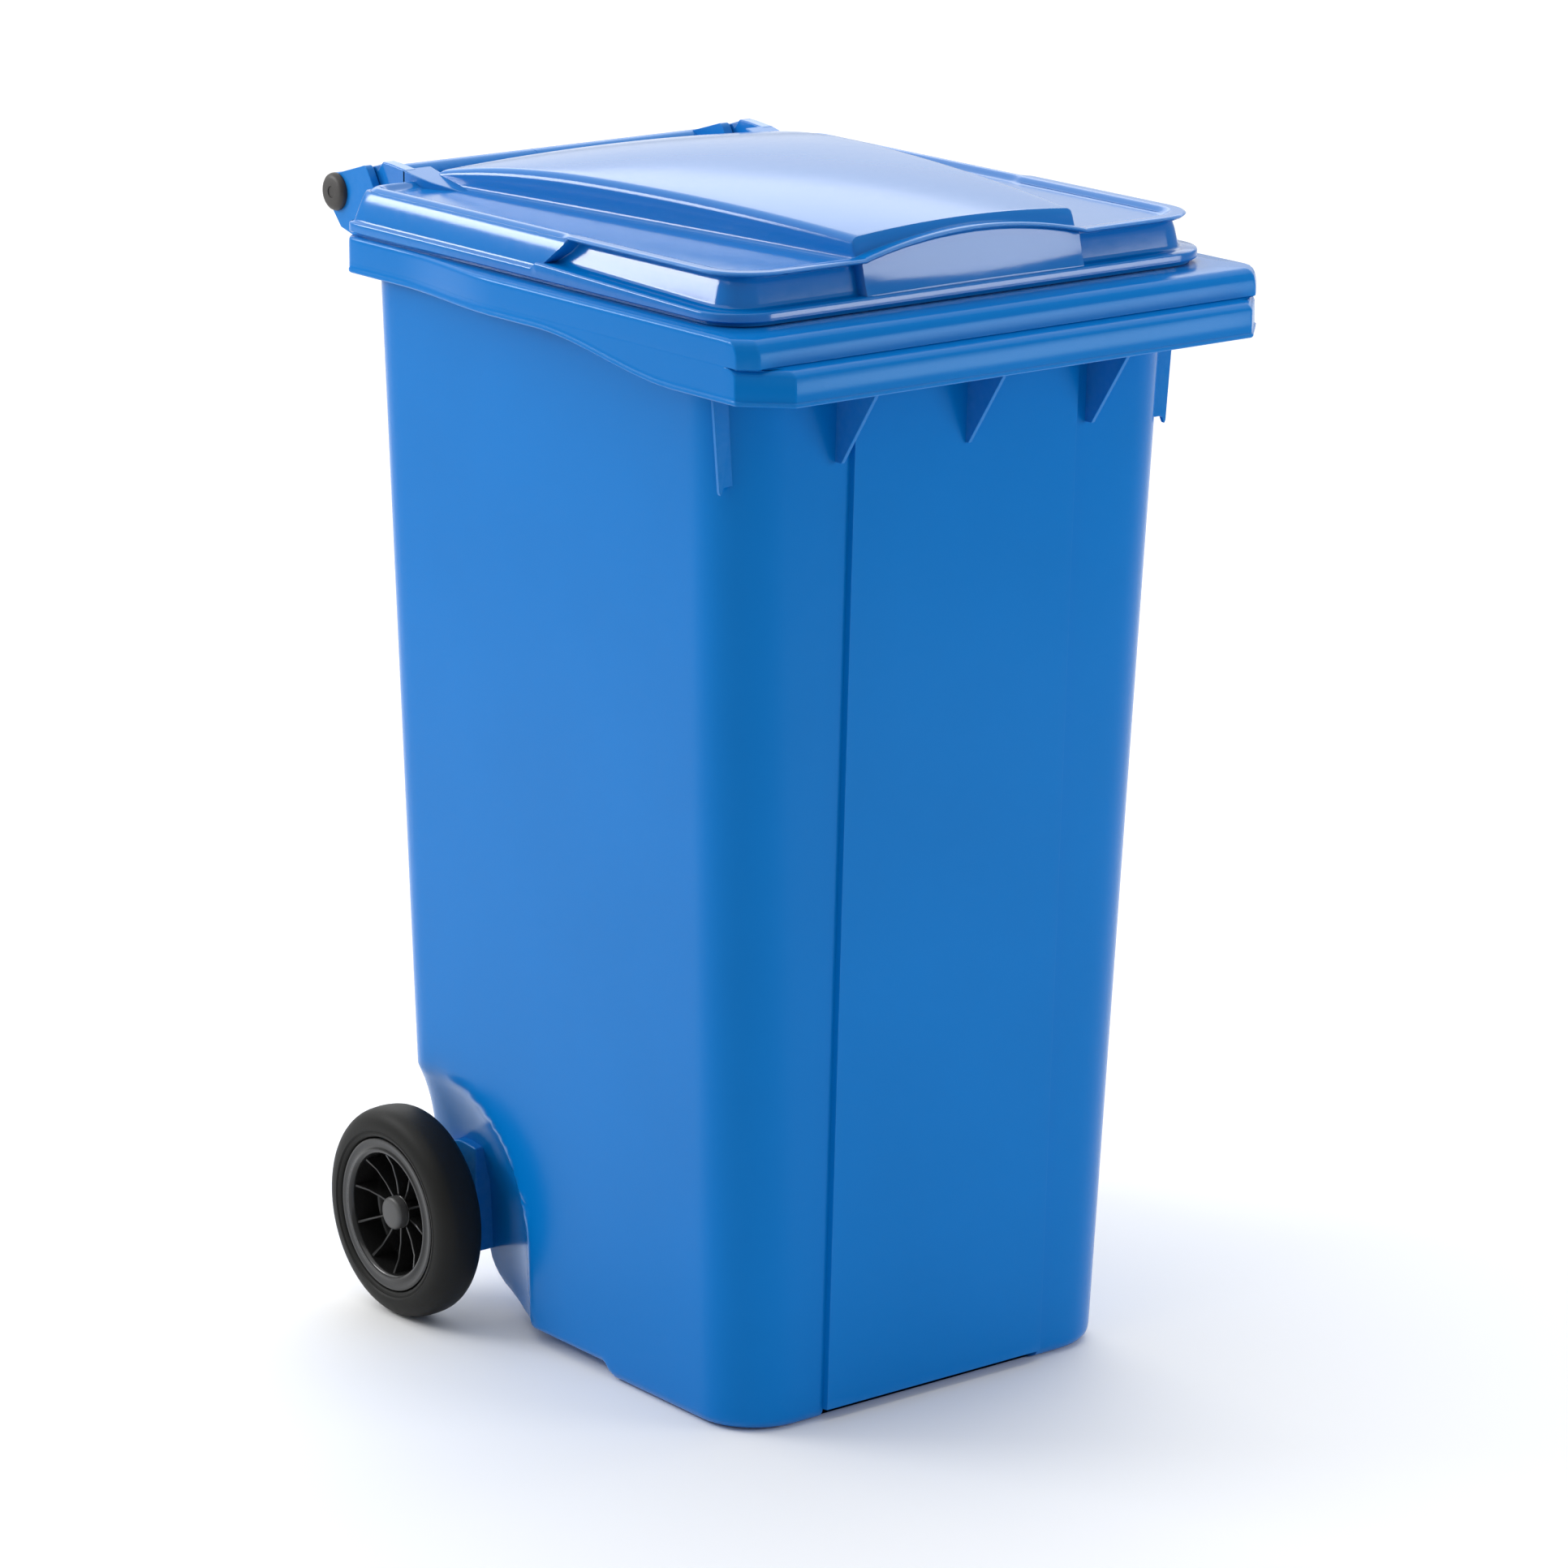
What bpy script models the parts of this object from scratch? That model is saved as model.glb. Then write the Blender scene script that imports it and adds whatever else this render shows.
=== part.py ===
"""A two-wheeled wheelie bin of 240 litres, as the separate pieces that it is made of.

Metres, +Z up. The bin stands on z = 0, its front lip faces -Y, and the handle, the lid
hinge and the wheels are at the rear, +Y. X = 0 is the plane of symmetry.
"""
from math import atan2, cos, pi, sin, tan

import bmesh
import bpy
from mathutils import Matrix, Vector

GAP = 0.0003                    # clearance between two pieces that touch

# Container walls: they taper evenly from the shoulder under the rim down to the foot
WALL = 0.0040
SHOULDER_HEIGHT = 0.950
SHOULDER_HALF_WIDTH = 0.254
SHOULDER_FRONT = -0.284
SHOULDER_REAR = 0.259
FOOT_HALF_WIDTH = 0.2175
FOOT_FRONT = -0.254
FOOT_REAR = 0.255
FRONT_CORNER = 0.057
REAR_CORNER = 0.040
FOOT_EDGE = 0.012               # rounding where the walls turn into the floor
CORNER_STEPS = 6

# Rim: a flange with a skirt all round, and a comb lip in two tiers along the front
RIM_TOP = 1.010
RIM_HALF_WIDTH = 0.290
RIM_REAR_HALF_WIDTH = 0.272
RIM_REAR = 0.266
RIM_REAR_CORNER = 0.012
RIM_TAPER = (0.02, 0.17)         # the rim draws in from its full width between these values of Y
RIM_WALL = 0.004
UPPER_TIER_FRONT = -0.348
UPPER_TIER_CHAMFER = 0.014
LIP_FRONT = -0.370
LIP_CHAMFER = 0.036
TIER_HEIGHT = 0.024
SKIRT_FRONT_EDGE = 0.955
SKIRT_REAR_EDGE = 0.977
SKIRT_SLOPE = (-0.25, -0.05)    # the skirt's lower edge rises between these values of Y
LIP_REAR = -0.210               # the comb lip ends here and the collar goes on round the rear

# Front wall: raised centre panel, gussets under the lip, and a rib plate at each corner
PANEL_HALF_WIDTH = 0.126
PANEL_RAISE = 0.005
PANEL_BOTTOM = 0.010
PANEL_TOP = 1.002
GUSSET_PLACES = (-0.140, 0.0, 0.140)
GUSSET_FRONT = -0.352
GUSSET_BOTTOM = 0.880
PLATE = 0.004
CORNER_RIB_BOTTOM = 0.868
CORNER_RIB_Y = -0.260            # each stands out to its side here, ahead of the wall's round corner
CORNER_RIB_OUTSIDE = (0.250, 0.258)   # at its lower end, and under the rim

# Axle, wheels and the shape of the container round them
AXLE_Y = 0.200
AXLE_Z = 0.100
AXLE_RADIUS = 0.010
AXLE_HALF_LENGTH = 0.274
BORE = 0.0005                   # radial clearance of a bore on its shaft
ARCH_RADIUS = 0.135
ARCH_INNER_RADIUS = 0.030
ARCH_DEPTH = 0.036
ARCH_STEPS = 14
REAR_FOOT_HEIGHT = 0.011
FOOT_STEP_Y = -0.055
UNDERCUT_FRONT = 0.172
UNDERCUT_CORNER = 0.052
UNDERCUT_TOP = 0.150
BRACKET = (0.176, 0.206)        # from X to X, either side
BASE_HEIGHT = 0.250             # the container's node for its walls starts here
HOUSING_FRONT = 0.118           # and the one for the axle's housing here
WHEEL_CENTRE = 0.261
WHEEL_RADIUS = 0.100
TYRE_HALF_WIDTH = 0.0245
RIM_RADIUS = 0.0727
BOWL_RADIUS = 0.0575
BOSS_RADIUS = 0.0155
BOSS_INNER_END = -0.0245
BOSS_OUTER_END = 0.008
SPOKES = 10
SPOKE_WIDTH = 0.003
WHEEL_STEPS = 48

# Handle, hinge and lid
HINGE_Y = 0.3525
HINGE_Z = 1.032
HANDLE_RADIUS = 0.0175
INNER_WEB = (0.186, 0.196)
OUTER_WEB = (0.212, 0.220)
LID_ARM = (0.1975, 0.2105)
PIN_RADIUS = 0.008
PIN_DEPTH = 0.172
LID_WALL = 0.004
LID_SEAT = RIM_TOP + GAP
LID_TIER_TOP = 1.0225
LID_SHEET_UNDERSIDE = 1.050
LID_SHEET_TOP = 1.055
HAND_HOLD_REAR = -0.059
CREST_HEIGHT = 1.0865
CREST_FRONT = -0.282
CREST_REAR = 0.2695
NOSE_HALF_WIDTH = 0.122
NOSE_FRONT = -0.2975
ARCH_RISE = 0.016


def collection(name):
    made = bpy.data.collections.new(name)
    bpy.context.scene.collection.children.link(made)
    return made


for leftover in list(bpy.data.objects):
    bpy.data.objects.remove(leftover)
PIECES = collection("wheelie_bin")
CUTTERS = collection("cutters")


def material(name, colour, roughness, metallic=0.0):
    made = bpy.data.materials.new(name)
    made.use_nodes = True
    shader = made.node_tree.nodes["Principled BSDF"]
    shader.inputs["Base Color"].default_value = (*colour, 1.0)
    shader.inputs["Roughness"].default_value = roughness
    shader.inputs["Metallic"].default_value = metallic
    return made


BLUE_PLASTIC = material("blue_polyethylene", (0.006, 0.130, 0.500), 0.32)
BLACK_PLASTIC = material("black_plastic", (0.020, 0.020, 0.019), 0.35)
BROWN_PLASTIC = material("dark_pin_plastic", (0.040, 0.034, 0.032), 0.50)
GREY_PLASTIC = material("grey_cap_plastic", (0.110, 0.110, 0.110), 0.45)
TYRE_RUBBER = material("tyre_rubber", (0.050, 0.050, 0.046), 0.75)
STEEL = material("zinc_plated_steel", (0.550, 0.560, 0.580), 0.35, 1.0)


def place(name, mesh):
    made = bpy.data.objects.new(name, mesh)
    PIECES.objects.link(made)
    return made


def finish(piece, surface):
    """Give a piece its material, and round shading where it is round."""
    piece.data.materials.clear()
    piece.data.materials.append(surface)
    piece.data.shade_smooth()
    piece.data.set_sharp_from_angle(angle=pi / 6)


def boolean(piece, tool, operation):
    change = piece.modifiers.new(f"{operation.lower()}_{tool.name}", "BOOLEAN")
    change.object = tool
    change.operation = operation
    change.solver = "EXACT"
    if tool.name in PIECES.objects:
        PIECES.objects.unlink(tool)
        CUTTERS.objects.link(tool)
    tool.hide_render = True
    tool.display_type = "WIRE"


def join(piece, *tools):
    for tool in tools:
        boolean(piece, tool, "UNION")


def cut(piece, *tools):
    for tool in tools:
        boolean(piece, tool, "DIFFERENCE")


def between(start, end, share):
    return start + (end - start) * share


def rounded(corners):
    """A closed outline through corners (x, y, radius, steps), each corner turned to an arc."""
    outline = []
    for index, (x, y, radius, steps) in enumerate(corners):
        here = Vector((x, y))
        if not steps:
            outline.append(here)
            continue
        back = (Vector(corners[index - 1][:2]) - here).normalized()
        ahead = (Vector(corners[(index + 1) % len(corners)][:2]) - here).normalized()
        half_angle = back.angle(ahead) / 2
        centre = here + (back + ahead).normalized() * radius / sin(half_angle)
        first = here + back * radius / tan(half_angle) - centre
        last = here + ahead * radius / tan(half_angle) - centre
        start = atan2(first.y, first.x)
        turn = (atan2(last.y, last.x) - start + pi) % (2 * pi) - pi
        for step in range(steps + 1):
            angle = start + turn * step / steps
            outline.append(centre + radius * Vector((cos(angle), sin(angle))))
    return outline


def mirrored(right):
    """Corners of the right-hand side, from front to rear, followed by those of the left."""
    return right + [(-x, y, radius, steps) for x, y, radius, steps in reversed(right)]


def ring(right, z):
    return [(x, y, z) for x, y in rounded(mirrored(right))]


def loft(name, rings):
    """A closed solid through rings that have as many points as each other."""
    shape = bmesh.new()
    loops = [[shape.verts.new(point) for point in points] for points in rings]
    for lower, upper in zip(loops, loops[1:]):
        for index in range(len(lower)):
            after = (index + 1) % len(lower)
            shape.faces.new((lower[index], lower[after], upper[after], upper[index]))
    shape.faces.new(list(reversed(loops[0])))
    shape.faces.new(loops[-1])
    bmesh.ops.recalc_face_normals(shape, faces=shape.faces)
    mesh = bpy.data.meshes.new(name)
    shape.to_mesh(mesh)
    shape.free()
    return place(name, mesh)


def plate(name, outline, low, high):
    """A flat plate with its outline in the YZ plane, between two values of X."""
    curve = bpy.data.curves.new(name, "CURVE")
    curve.dimensions = "2D"
    curve.fill_mode = "BOTH"
    curve.extrude = (high - low) / 2
    spline = curve.splines.new("POLY")
    spline.points.add(len(outline) - 1)
    for point, (y, z) in zip(spline.points, outline):
        point.co = (y, z, 0.0, 1.0)
    spline.use_cyclic_u = True
    drawn = place(name + "_outline", curve)
    drawn.matrix_world = Matrix((
        (0, 0, 1, (low + high) / 2), (1, 0, 0, 0), (0, 1, 0, 0), (0, 0, 0, 1)))
    bpy.context.view_layer.update()
    seen = drawn.evaluated_get(bpy.context.evaluated_depsgraph_get())
    mesh = bpy.data.meshes.new_from_object(seen)
    shape = bmesh.new()
    shape.from_mesh(mesh)
    bmesh.ops.remove_doubles(shape, verts=shape.verts, dist=0.00001)
    bmesh.ops.recalc_face_normals(shape, faces=shape.faces)
    shape.to_mesh(mesh)
    shape.free()
    made = place(name, mesh)
    made.matrix_world = drawn.matrix_world
    bpy.data.objects.remove(drawn)
    return made


def rod(name, radius, low, high, y, z):
    """A plain round bar along X."""
    shape = bmesh.new()
    bmesh.ops.create_cone(shape, cap_ends=True, segments=32, radius1=radius, radius2=radius,
                          depth=high - low)
    mesh = bpy.data.meshes.new(name)
    shape.to_mesh(mesh)
    shape.free()
    made = place(name, mesh)
    made.location = ((low + high) / 2, y, z)
    made.rotation_euler = (0, pi / 2, 0)
    return made


def turned(name, profile, steps, closed):
    """A turned piece. The profile is (radius, height), down its outer side."""
    mesh = bpy.data.meshes.new(name)
    count = len(profile)
    edges = [(index, index + 1) for index in range(count - 1)]
    if closed:
        edges.append((count - 1, 0))
    mesh.from_pydata([(radius, 0, height) for radius, height in profile], edges, [])
    made = place(name, mesh)
    screw = made.modifiers.new("turned", "SCREW")
    screw.steps = screw.render_steps = steps
    screw.use_merge_vertices = True
    screw.merge_threshold = 0.00005
    return made


def container_ring(z, inset, edge=0.0):
    """The container's outline at a height, moved inwards by inset and, at its foot, by edge."""
    share = z / SHOULDER_HEIGHT
    half = between(FOOT_HALF_WIDTH, SHOULDER_HALF_WIDTH, share) - inset - edge
    front = between(FOOT_FRONT, SHOULDER_FRONT, share) + inset + edge
    rear = between(FOOT_REAR, SHOULDER_REAR, share) - inset - edge
    return ring([(half, front, FRONT_CORNER - inset, CORNER_STEPS),
                 (half, rear, REAR_CORNER - inset, CORNER_STEPS)], z)


def tapered_block(name, inset, floor, top):
    edge = FOOT_EDGE - inset
    rings = [container_ring(floor, inset, edge),
             container_ring(floor + edge * (1 - sin(pi / 4)), inset, edge * (1 - cos(pi / 4))),
             container_ring(floor + edge, inset),
             container_ring(SHOULDER_HEIGHT, inset),
             container_ring(top, inset)]
    return loft(name, rings)


def undercut(name, grow):
    """The space under the rear of the container, where the axle runs."""
    front = UNDERCUT_FRONT - grow
    step = FOOT_STEP_Y - grow
    base = REAR_FOOT_HEIGHT + grow
    top = UNDERCUT_TOP + grow
    below = -0.05
    behind = 0.32
    outline = rounded([(step, below, 0, 0), (step, base, 0, 0),
                       (front, base, UNDERCUT_CORNER, 5), (front, top - 0.02, 0.015, 3),
                       (behind, top + 0.012, 0, 0), (behind, below, 0, 0)])
    return plate(name, outline, -0.30, 0.30)


def wheel_arch(name, side, grow):
    """The dished recess beside a wheel: round over the axle and straight down from it."""
    wall = between(FOOT_HALF_WIDTH, SHOULDER_HALF_WIDTH, AXLE_Z / SHOULDER_HEIGHT)
    inner = wall - ARCH_DEPTH - grow
    outer = wall + 0.02
    slope = (ARCH_RADIUS - ARCH_INNER_RADIUS) / ARCH_DEPTH
    outlines = []
    for x in (inner, outer):
        radius = ARCH_INNER_RADIUS + grow + slope * (x - inner)
        arc = [(AXLE_Y + radius * cos(pi * step / ARCH_STEPS),
                AXLE_Z - 0.006 + radius * sin(pi * step / ARCH_STEPS))
               for step in range(ARCH_STEPS + 1)]
        points = [(AXLE_Y + radius, -0.05)] + arc + [(AXLE_Y - radius, -0.05)]
        outlines.append([(side * x, y, z) for y, z in points])
    return loft(name, outlines)


def rim_ring(z, front, chamfer, inset):
    """The rim's outline: its sides draw in to the rear, and its front corners are chamfered."""
    half = RIM_HALF_WIDTH - inset
    rear_half = RIM_REAR_HALF_WIDTH - inset
    rear = RIM_REAR - 4 * inset
    return ring([(half, front + inset, chamfer, 1), (half, RIM_TAPER[0], 0, 0),
                 (rear_half, RIM_TAPER[1], 0, 0),
                 (rear_half, rear, RIM_REAR_CORNER - inset, CORNER_STEPS // 2)], z)


def rim_block(name, inset, bottom):
    """The whole outside of the rim, or with an inset the hollow under it."""
    step = RIM_TOP - TIER_HEIGHT
    return loft(name, [
        rim_ring(bottom, LIP_FRONT, LIP_CHAMFER, inset),
        rim_ring(step - inset, LIP_FRONT, LIP_CHAMFER, inset),
        rim_ring(step - inset + 0.001, UPPER_TIER_FRONT, UPPER_TIER_CHAMFER, inset),
        rim_ring(RIM_TOP - inset, UPPER_TIER_FRONT, UPPER_TIER_CHAMFER, inset)])


def block(name, front, rear, low, high):
    """A cutter as wide as the bin, from front to rear and from low to high."""
    return plate(name, [(front, low), (rear, low), (rear, high), (front, high)], -0.33, 0.33)


def wall_clearance(name):
    """The space that the container's wall and front panel take up inside the rim."""
    clearance = tapered_block(name, -GAP, 0.50, RIM_TOP + 0.02)
    join(clearance, front_panel(f"{name}_panel", GAP))
    return clearance


def make_rim(name):
    """The flange and skirt, still whole: the comb lip and the collar are each cut from one."""
    rim = rim_block(name, 0.0, SKIRT_FRONT_EDGE - 0.010)
    hollow = rim_block(f"{name}_hollow", RIM_WALL, SKIRT_FRONT_EDGE - 0.040)
    low_front, low_rear = SKIRT_SLOPE
    below = SKIRT_FRONT_EDGE - 0.060
    trim = plate(f"{name}_trim", [
        (LIP_FRONT - 0.02, below), (RIM_REAR + 0.02, below), (RIM_REAR + 0.02, SKIRT_REAR_EDGE),
        (low_rear, SKIRT_REAR_EDGE), (low_front, SKIRT_FRONT_EDGE),
        (LIP_FRONT - 0.02, SKIRT_FRONT_EDGE)], -0.32, 0.32)
    cut(rim, hollow, trim)
    return rim


def front_panel(name, grow=0.0):
    """The raised panel down the middle of the front wall."""
    half = PANEL_HALF_WIDTH + grow
    height = PANEL_RAISE + grow
    outlines = []
    for z in (PANEL_BOTTOM, PANEL_TOP + grow):
        wall = between(FOOT_FRONT, SHOULDER_FRONT, z / SHOULDER_HEIGHT)
        outlines.append([(-half, wall + WALL / 2, z), (-half + PANEL_RAISE, wall - height, z),
                         (half - PANEL_RAISE, wall - height, z), (half, wall + WALL / 2, z)])
    return loft(name, outlines)


def make_front_ribs():
    """Gussets that carry the comb lip, and the rib plate beside each front corner."""
    ribs = []
    wall = SHOULDER_FRONT + 2 * RIM_WALL
    top = RIM_TOP - RIM_WALL / 2
    tier = UPPER_TIER_FRONT + RIM_WALL / 2
    step = RIM_TOP - TIER_HEIGHT - RIM_WALL / 2
    for number, x in enumerate(GUSSET_PLACES):
        outline = [(wall, GUSSET_BOTTOM), (wall, top), (tier, top), (tier, step), (GUSSET_FRONT, step),
                   (GUSSET_FRONT, SKIRT_FRONT_EDGE + 0.004), (wall - 0.012, GUSSET_BOTTOM)]
        ribs.append(plate(f"gusset_{number}", outline, x - PLATE / 2, x + PLATE / 2))
    low_half, high_half = CORNER_RIB_OUTSIDE
    toe = CORNER_RIB_BOTTOM - 0.006
    faces = [CORNER_RIB_Y - PLATE / 2, CORNER_RIB_Y + PLATE / 2]
    for side in (-1, 1):
        outline = [(FOOT_HALF_WIDTH, CORNER_RIB_BOTTOM), (low_half - PLATE, CORNER_RIB_BOTTOM),
                   (low_half - PLATE + 0.001, toe), (low_half, toe), (high_half, SKIRT_FRONT_EDGE),
                   (high_half, top), (FOOT_HALF_WIDTH, top)]
        ribs.append(loft(f"corner_rib_{side}", [[(side * x, y, z) for x, z in outline]
                                                for y in faces]))
    return ribs


def make_comb_lip():
    comb_lip = make_rim("comb_lip")
    cut(comb_lip, block("behind_comb_lip", LIP_REAR, 0.4, 0.8, 1.1))
    join(comb_lip, *make_front_ribs())
    cut(comb_lip, wall_clearance("comb_lip_clearance"))
    finish(comb_lip, BLUE_PLASTIC)


def make_rim_collar():
    collar = make_rim("rim_collar")
    cut(collar, block("before_rim_collar", -0.5, LIP_REAR + GAP, 0.8, 1.1))
    cut(collar, wall_clearance("rim_collar_clearance"))
    finish(collar, BLUE_PLASTIC)


def bore_for_pin(piece, side):
    low, high = sorted((side * (PIN_DEPTH - 0.004), side * 0.24))
    cut(piece, rod(f"{piece.name}_bore_{side}", PIN_RADIUS + GAP, low, high, HINGE_Y, HINGE_Z))


def make_handle():
    """The round handle between two pairs of webs that stand out behind the rim."""
    end = INNER_WEB[0] - GAP
    bar = rod("handle_bar", HANDLE_RADIUS, -end, end, HINGE_Y, HINGE_Z)
    front = RIM_REAR + GAP
    arc = [(HINGE_Y + HANDLE_RADIUS * cos(angle * pi / 12), HINGE_Z + HANDLE_RADIUS * sin(angle * pi / 12))
           for angle in range(-2, 7)]
    outline = [(front, 0.979), (HINGE_Y - 0.006, 1.000)] + arc + [
        (0.308, 1.0615), (0.3025, 1.0585), (RIM_REAR + 0.006, RIM_TOP - GAP),
        (front, RIM_TOP - GAP)]
    for hand, side in (("left", -1), ("right", 1)):
        bore_for_pin(bar, side)
        for name, (near, far) in (("inner", INNER_WEB), ("outer", OUTER_WEB)):
            low, high = sorted((side * near, side * far))
            web = plate(f"{name}_web_{hand}", outline, low, high)
            bore_for_pin(web, side)
            finish(web, BLUE_PLASTIC)
    finish(bar, BLUE_PLASTIC)


def make_axle_brackets():
    outline = rounded([(0.165, 0.056, 0, 0), (0.228, 0.056, 0.026, 4), (0.228, 0.155, 0.006, 1),
                       (0.200, 0.160, 0, 0), (0.165, 0.158, 0, 0)])
    return [plate(f"axle_bracket_{side}", outline, *sorted((side * BRACKET[0], side * BRACKET[1])))
            for side in (-1, 1)]


def container_moulding(name):
    """The container below the rim, still whole: each of its nodes is cut from one."""
    container = tapered_block(name, 0.0, 0.0, RIM_TOP)
    cut(container, undercut(f"{name}_axle_space", 0.0))
    cut(container, *[wheel_arch(f"{name}_arch_{side}", side, 0.0) for side in (-1, 1)])
    join(container, front_panel(f"{name}_panel"), *make_axle_brackets())
    hollow = tapered_block(f"{name}_hollow", WALL, WALL, RIM_TOP + 0.02)
    cut(hollow, undercut(f"{name}_axle_space_inside", WALL))
    cut(hollow, *[wheel_arch(f"{name}_arch_inside_{side}", side, WALL) for side in (-1, 1)])
    toe = plate(f"{name}_toe_recess", [
        (FOOT_FRONT - 0.02, -0.01), (FOOT_FRONT + 0.014, -0.01),
        (FOOT_FRONT + 0.008, PANEL_BOTTOM), (FOOT_FRONT - 0.02, PANEL_BOTTOM)],
        -PANEL_HALF_WIDTH, PANEL_HALF_WIDTH)
    cut(container, hollow, toe)
    cut(container, rod(f"{name}_axle_bore", AXLE_RADIUS + BORE, -0.25, 0.25, AXLE_Y, AXLE_Z))
    return container


def make_container():
    """The walls, the foot that the bin stands on, and the housing round the axle."""
    walls = container_moulding("container")
    cut(walls, block("below_walls", -0.4, 0.4, -0.1, BASE_HEIGHT))
    finish(walls, BLUE_PLASTIC)
    foot = container_moulding("container_foot")
    cut(foot, block("above_foot", -0.4, 0.4, BASE_HEIGHT - GAP, 1.1))
    cut(foot, block("behind_foot", HOUSING_FRONT, 0.4, -0.1, 0.5))
    finish(foot, BLUE_PLASTIC)
    housing = container_moulding("axle_housing")
    cut(housing, block("above_housing", -0.4, 0.4, BASE_HEIGHT - GAP, 1.1))
    cut(housing, block("before_housing", -0.4, HOUSING_FRONT + GAP, -0.1, 0.5))
    finish(housing, BLUE_PLASTIC)


def lid_ring(z, inset, half, rear_half, front, corner, recess=0.0, rear_corner=0.022):
    """The lid's outline at a height. A recess draws in the part ahead of the hand-hold's end."""
    step = HAND_HOLD_REAR - inset
    return ring([(half - recess - inset, front + recess + inset, corner - inset, CORNER_STEPS),
                 (half - recess - inset, step, 0, 0),
                 (rear_half - inset, step + 0.006, 0, 0),
                 (rear_half - inset, 0.264 - inset, rear_corner - inset, 3)], z)


def lid_block(name, inset, bottom):
    """The lid's tier, hand-hold recess and top sheet, or with an inset the hollow under them."""
    rings = [lid_ring(bottom, inset, 0.272, 0.272, -0.303, 0.046, rear_corner=RIM_REAR_CORNER),
             lid_ring(LID_TIER_TOP - inset - 0.001, inset, 0.271, 0.271, -0.302, 0.046,
                      rear_corner=RIM_REAR_CORNER),
             lid_ring(LID_TIER_TOP - inset, inset, 0.268, 0.2695, -0.299, 0.050, 0.021)]
    if inset:
        rings.append(lid_ring(LID_SHEET_TOP - inset, inset, 0.265, 0.261, -0.299, 0.050, 0.021))
    else:
        rings.append(lid_ring(LID_SHEET_UNDERSIDE, 0, 0.266, 0.2635, -0.299, 0.050, 0.021))
        rings.append(lid_ring(LID_SHEET_UNDERSIDE + 0.001, 0, 0.263, 0.263, -0.300, 0.050))
        rings.append(lid_ring(LID_SHEET_TOP, 0, 0.262, 0.258, -0.299, 0.050))
    return loft(name, rings)


def crest_section(y, inset, bottom):
    """The lid's raised centre, across the lid: steep sides and a slightly crowned top."""
    share = (y - CREST_FRONT) / (CREST_REAR - CREST_FRONT)
    half = between(0.122, 0.186, share) - inset
    fall = 0.0105 * (y / CREST_FRONT) ** 2 if y < 0 else 0.0265 * (y / 0.28) ** 2.6
    middle = CREST_HEIGHT - fall - inset
    steps = 8
    top = []
    for step in range(steps + 1):
        x = between(half - 0.006, 0.006 - half, step / steps)
        top.append((x, y, middle - 0.006 * (x / half) ** 2))
    side = top[0][2] - 0.005
    return [(-half - 0.002, y, bottom), (half + 0.002, y, bottom), (half, y, side)] + top + [
        (-half, y, side)]


def crest_block(name, inset, bottom):
    stations = 9
    front, rear = CREST_FRONT + inset, CREST_REAR - inset
    return loft(name, [crest_section(between(front, rear, step / (stations - 1)), inset, bottom)
                       for step in range(stations)])


def nose_section(y, inset, bottom):
    """The front wall of the lid's centre: its top edge arches up over the fingers."""
    half = NOSE_HALF_WIDTH - inset
    steps = 8
    arch = [(half * cos(pi * step / steps),
             y, LID_SHEET_TOP - inset + ARCH_RISE * sin(pi * step / steps))
            for step in range(steps + 1)]
    return [(-half, y, bottom), (half, y, bottom)] + arch


def make_lid_arms():
    """The two arms that reach back from the lid's top to the hinge pins."""
    eye = [(HINGE_Y + HANDLE_RADIUS * cos(angle * pi / 12), HINGE_Z + HANDLE_RADIUS * sin(angle * pi / 12))
           for angle in range(-8, 7, 1)]
    outline = eye + [(0.303, 1.0615), (0.299, 1.0575), (0.292, 1.0670), (0.240, 1.0660),
                     (0.200, 1.0600), (0.200, 1.0530), (0.258, 1.0530), (0.258, 1.0300),
                     (0.330, 1.0155)]
    return [plate(f"lid_arm_{side}", outline, *sorted((side * LID_ARM[0], side * LID_ARM[1])))
            for side in (-1, 1)]


def make_lid():
    axis = bpy.data.objects.new("lid_hinge_axis", None)
    PIECES.objects.link(axis)
    axis.location = (0.0, HINGE_Y, HINGE_Z)
    lid = lid_block("lid", 0.0, LID_SEAT)
    nose = loft("nose", [nose_section(y, 0.0, LID_TIER_TOP - 0.002) for y in (-0.262, NOSE_FRONT)])
    join(lid, crest_block("crest", 0.0, LID_SHEET_UNDERSIDE), nose, *make_lid_arms())
    nose_hollow = loft("nose_hollow", [nose_section(y, LID_WALL, LID_SEAT - 0.004)
                                       for y in (-0.250, NOSE_FRONT + LID_WALL)])
    cut(lid, lid_block("lid_hollow", LID_WALL, LID_SEAT - 0.010),
        crest_block("crest_hollow", LID_WALL, LID_SHEET_TOP - 2 * LID_WALL), nose_hollow)
    for side in (-1, 1):
        low, high = sorted((side * 0.18, side * 0.23))
        cut(lid, rod(f"eye_bore_{side}", PIN_RADIUS + BORE, low, high, HINGE_Y, HINGE_Z))
    finish(lid, BLUE_PLASTIC)
    lid.parent = axis
    lid.location = (0.0, -HINGE_Y, -HINGE_Z)
    return lid


def on_axis(piece, side, y, z):
    """Turn a turned piece so that its height points outwards along X on the given line."""
    piece.location = (0.0, y, z)
    piece.rotation_euler = (0.0, side * pi / 2, 0.0)


def outwards(profile):
    """A wheel piece's profile, moved from the wheel's own middle plane to the bin's."""
    return [(radius, WHEEL_CENTRE + along) for radius, along in profile]


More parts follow.
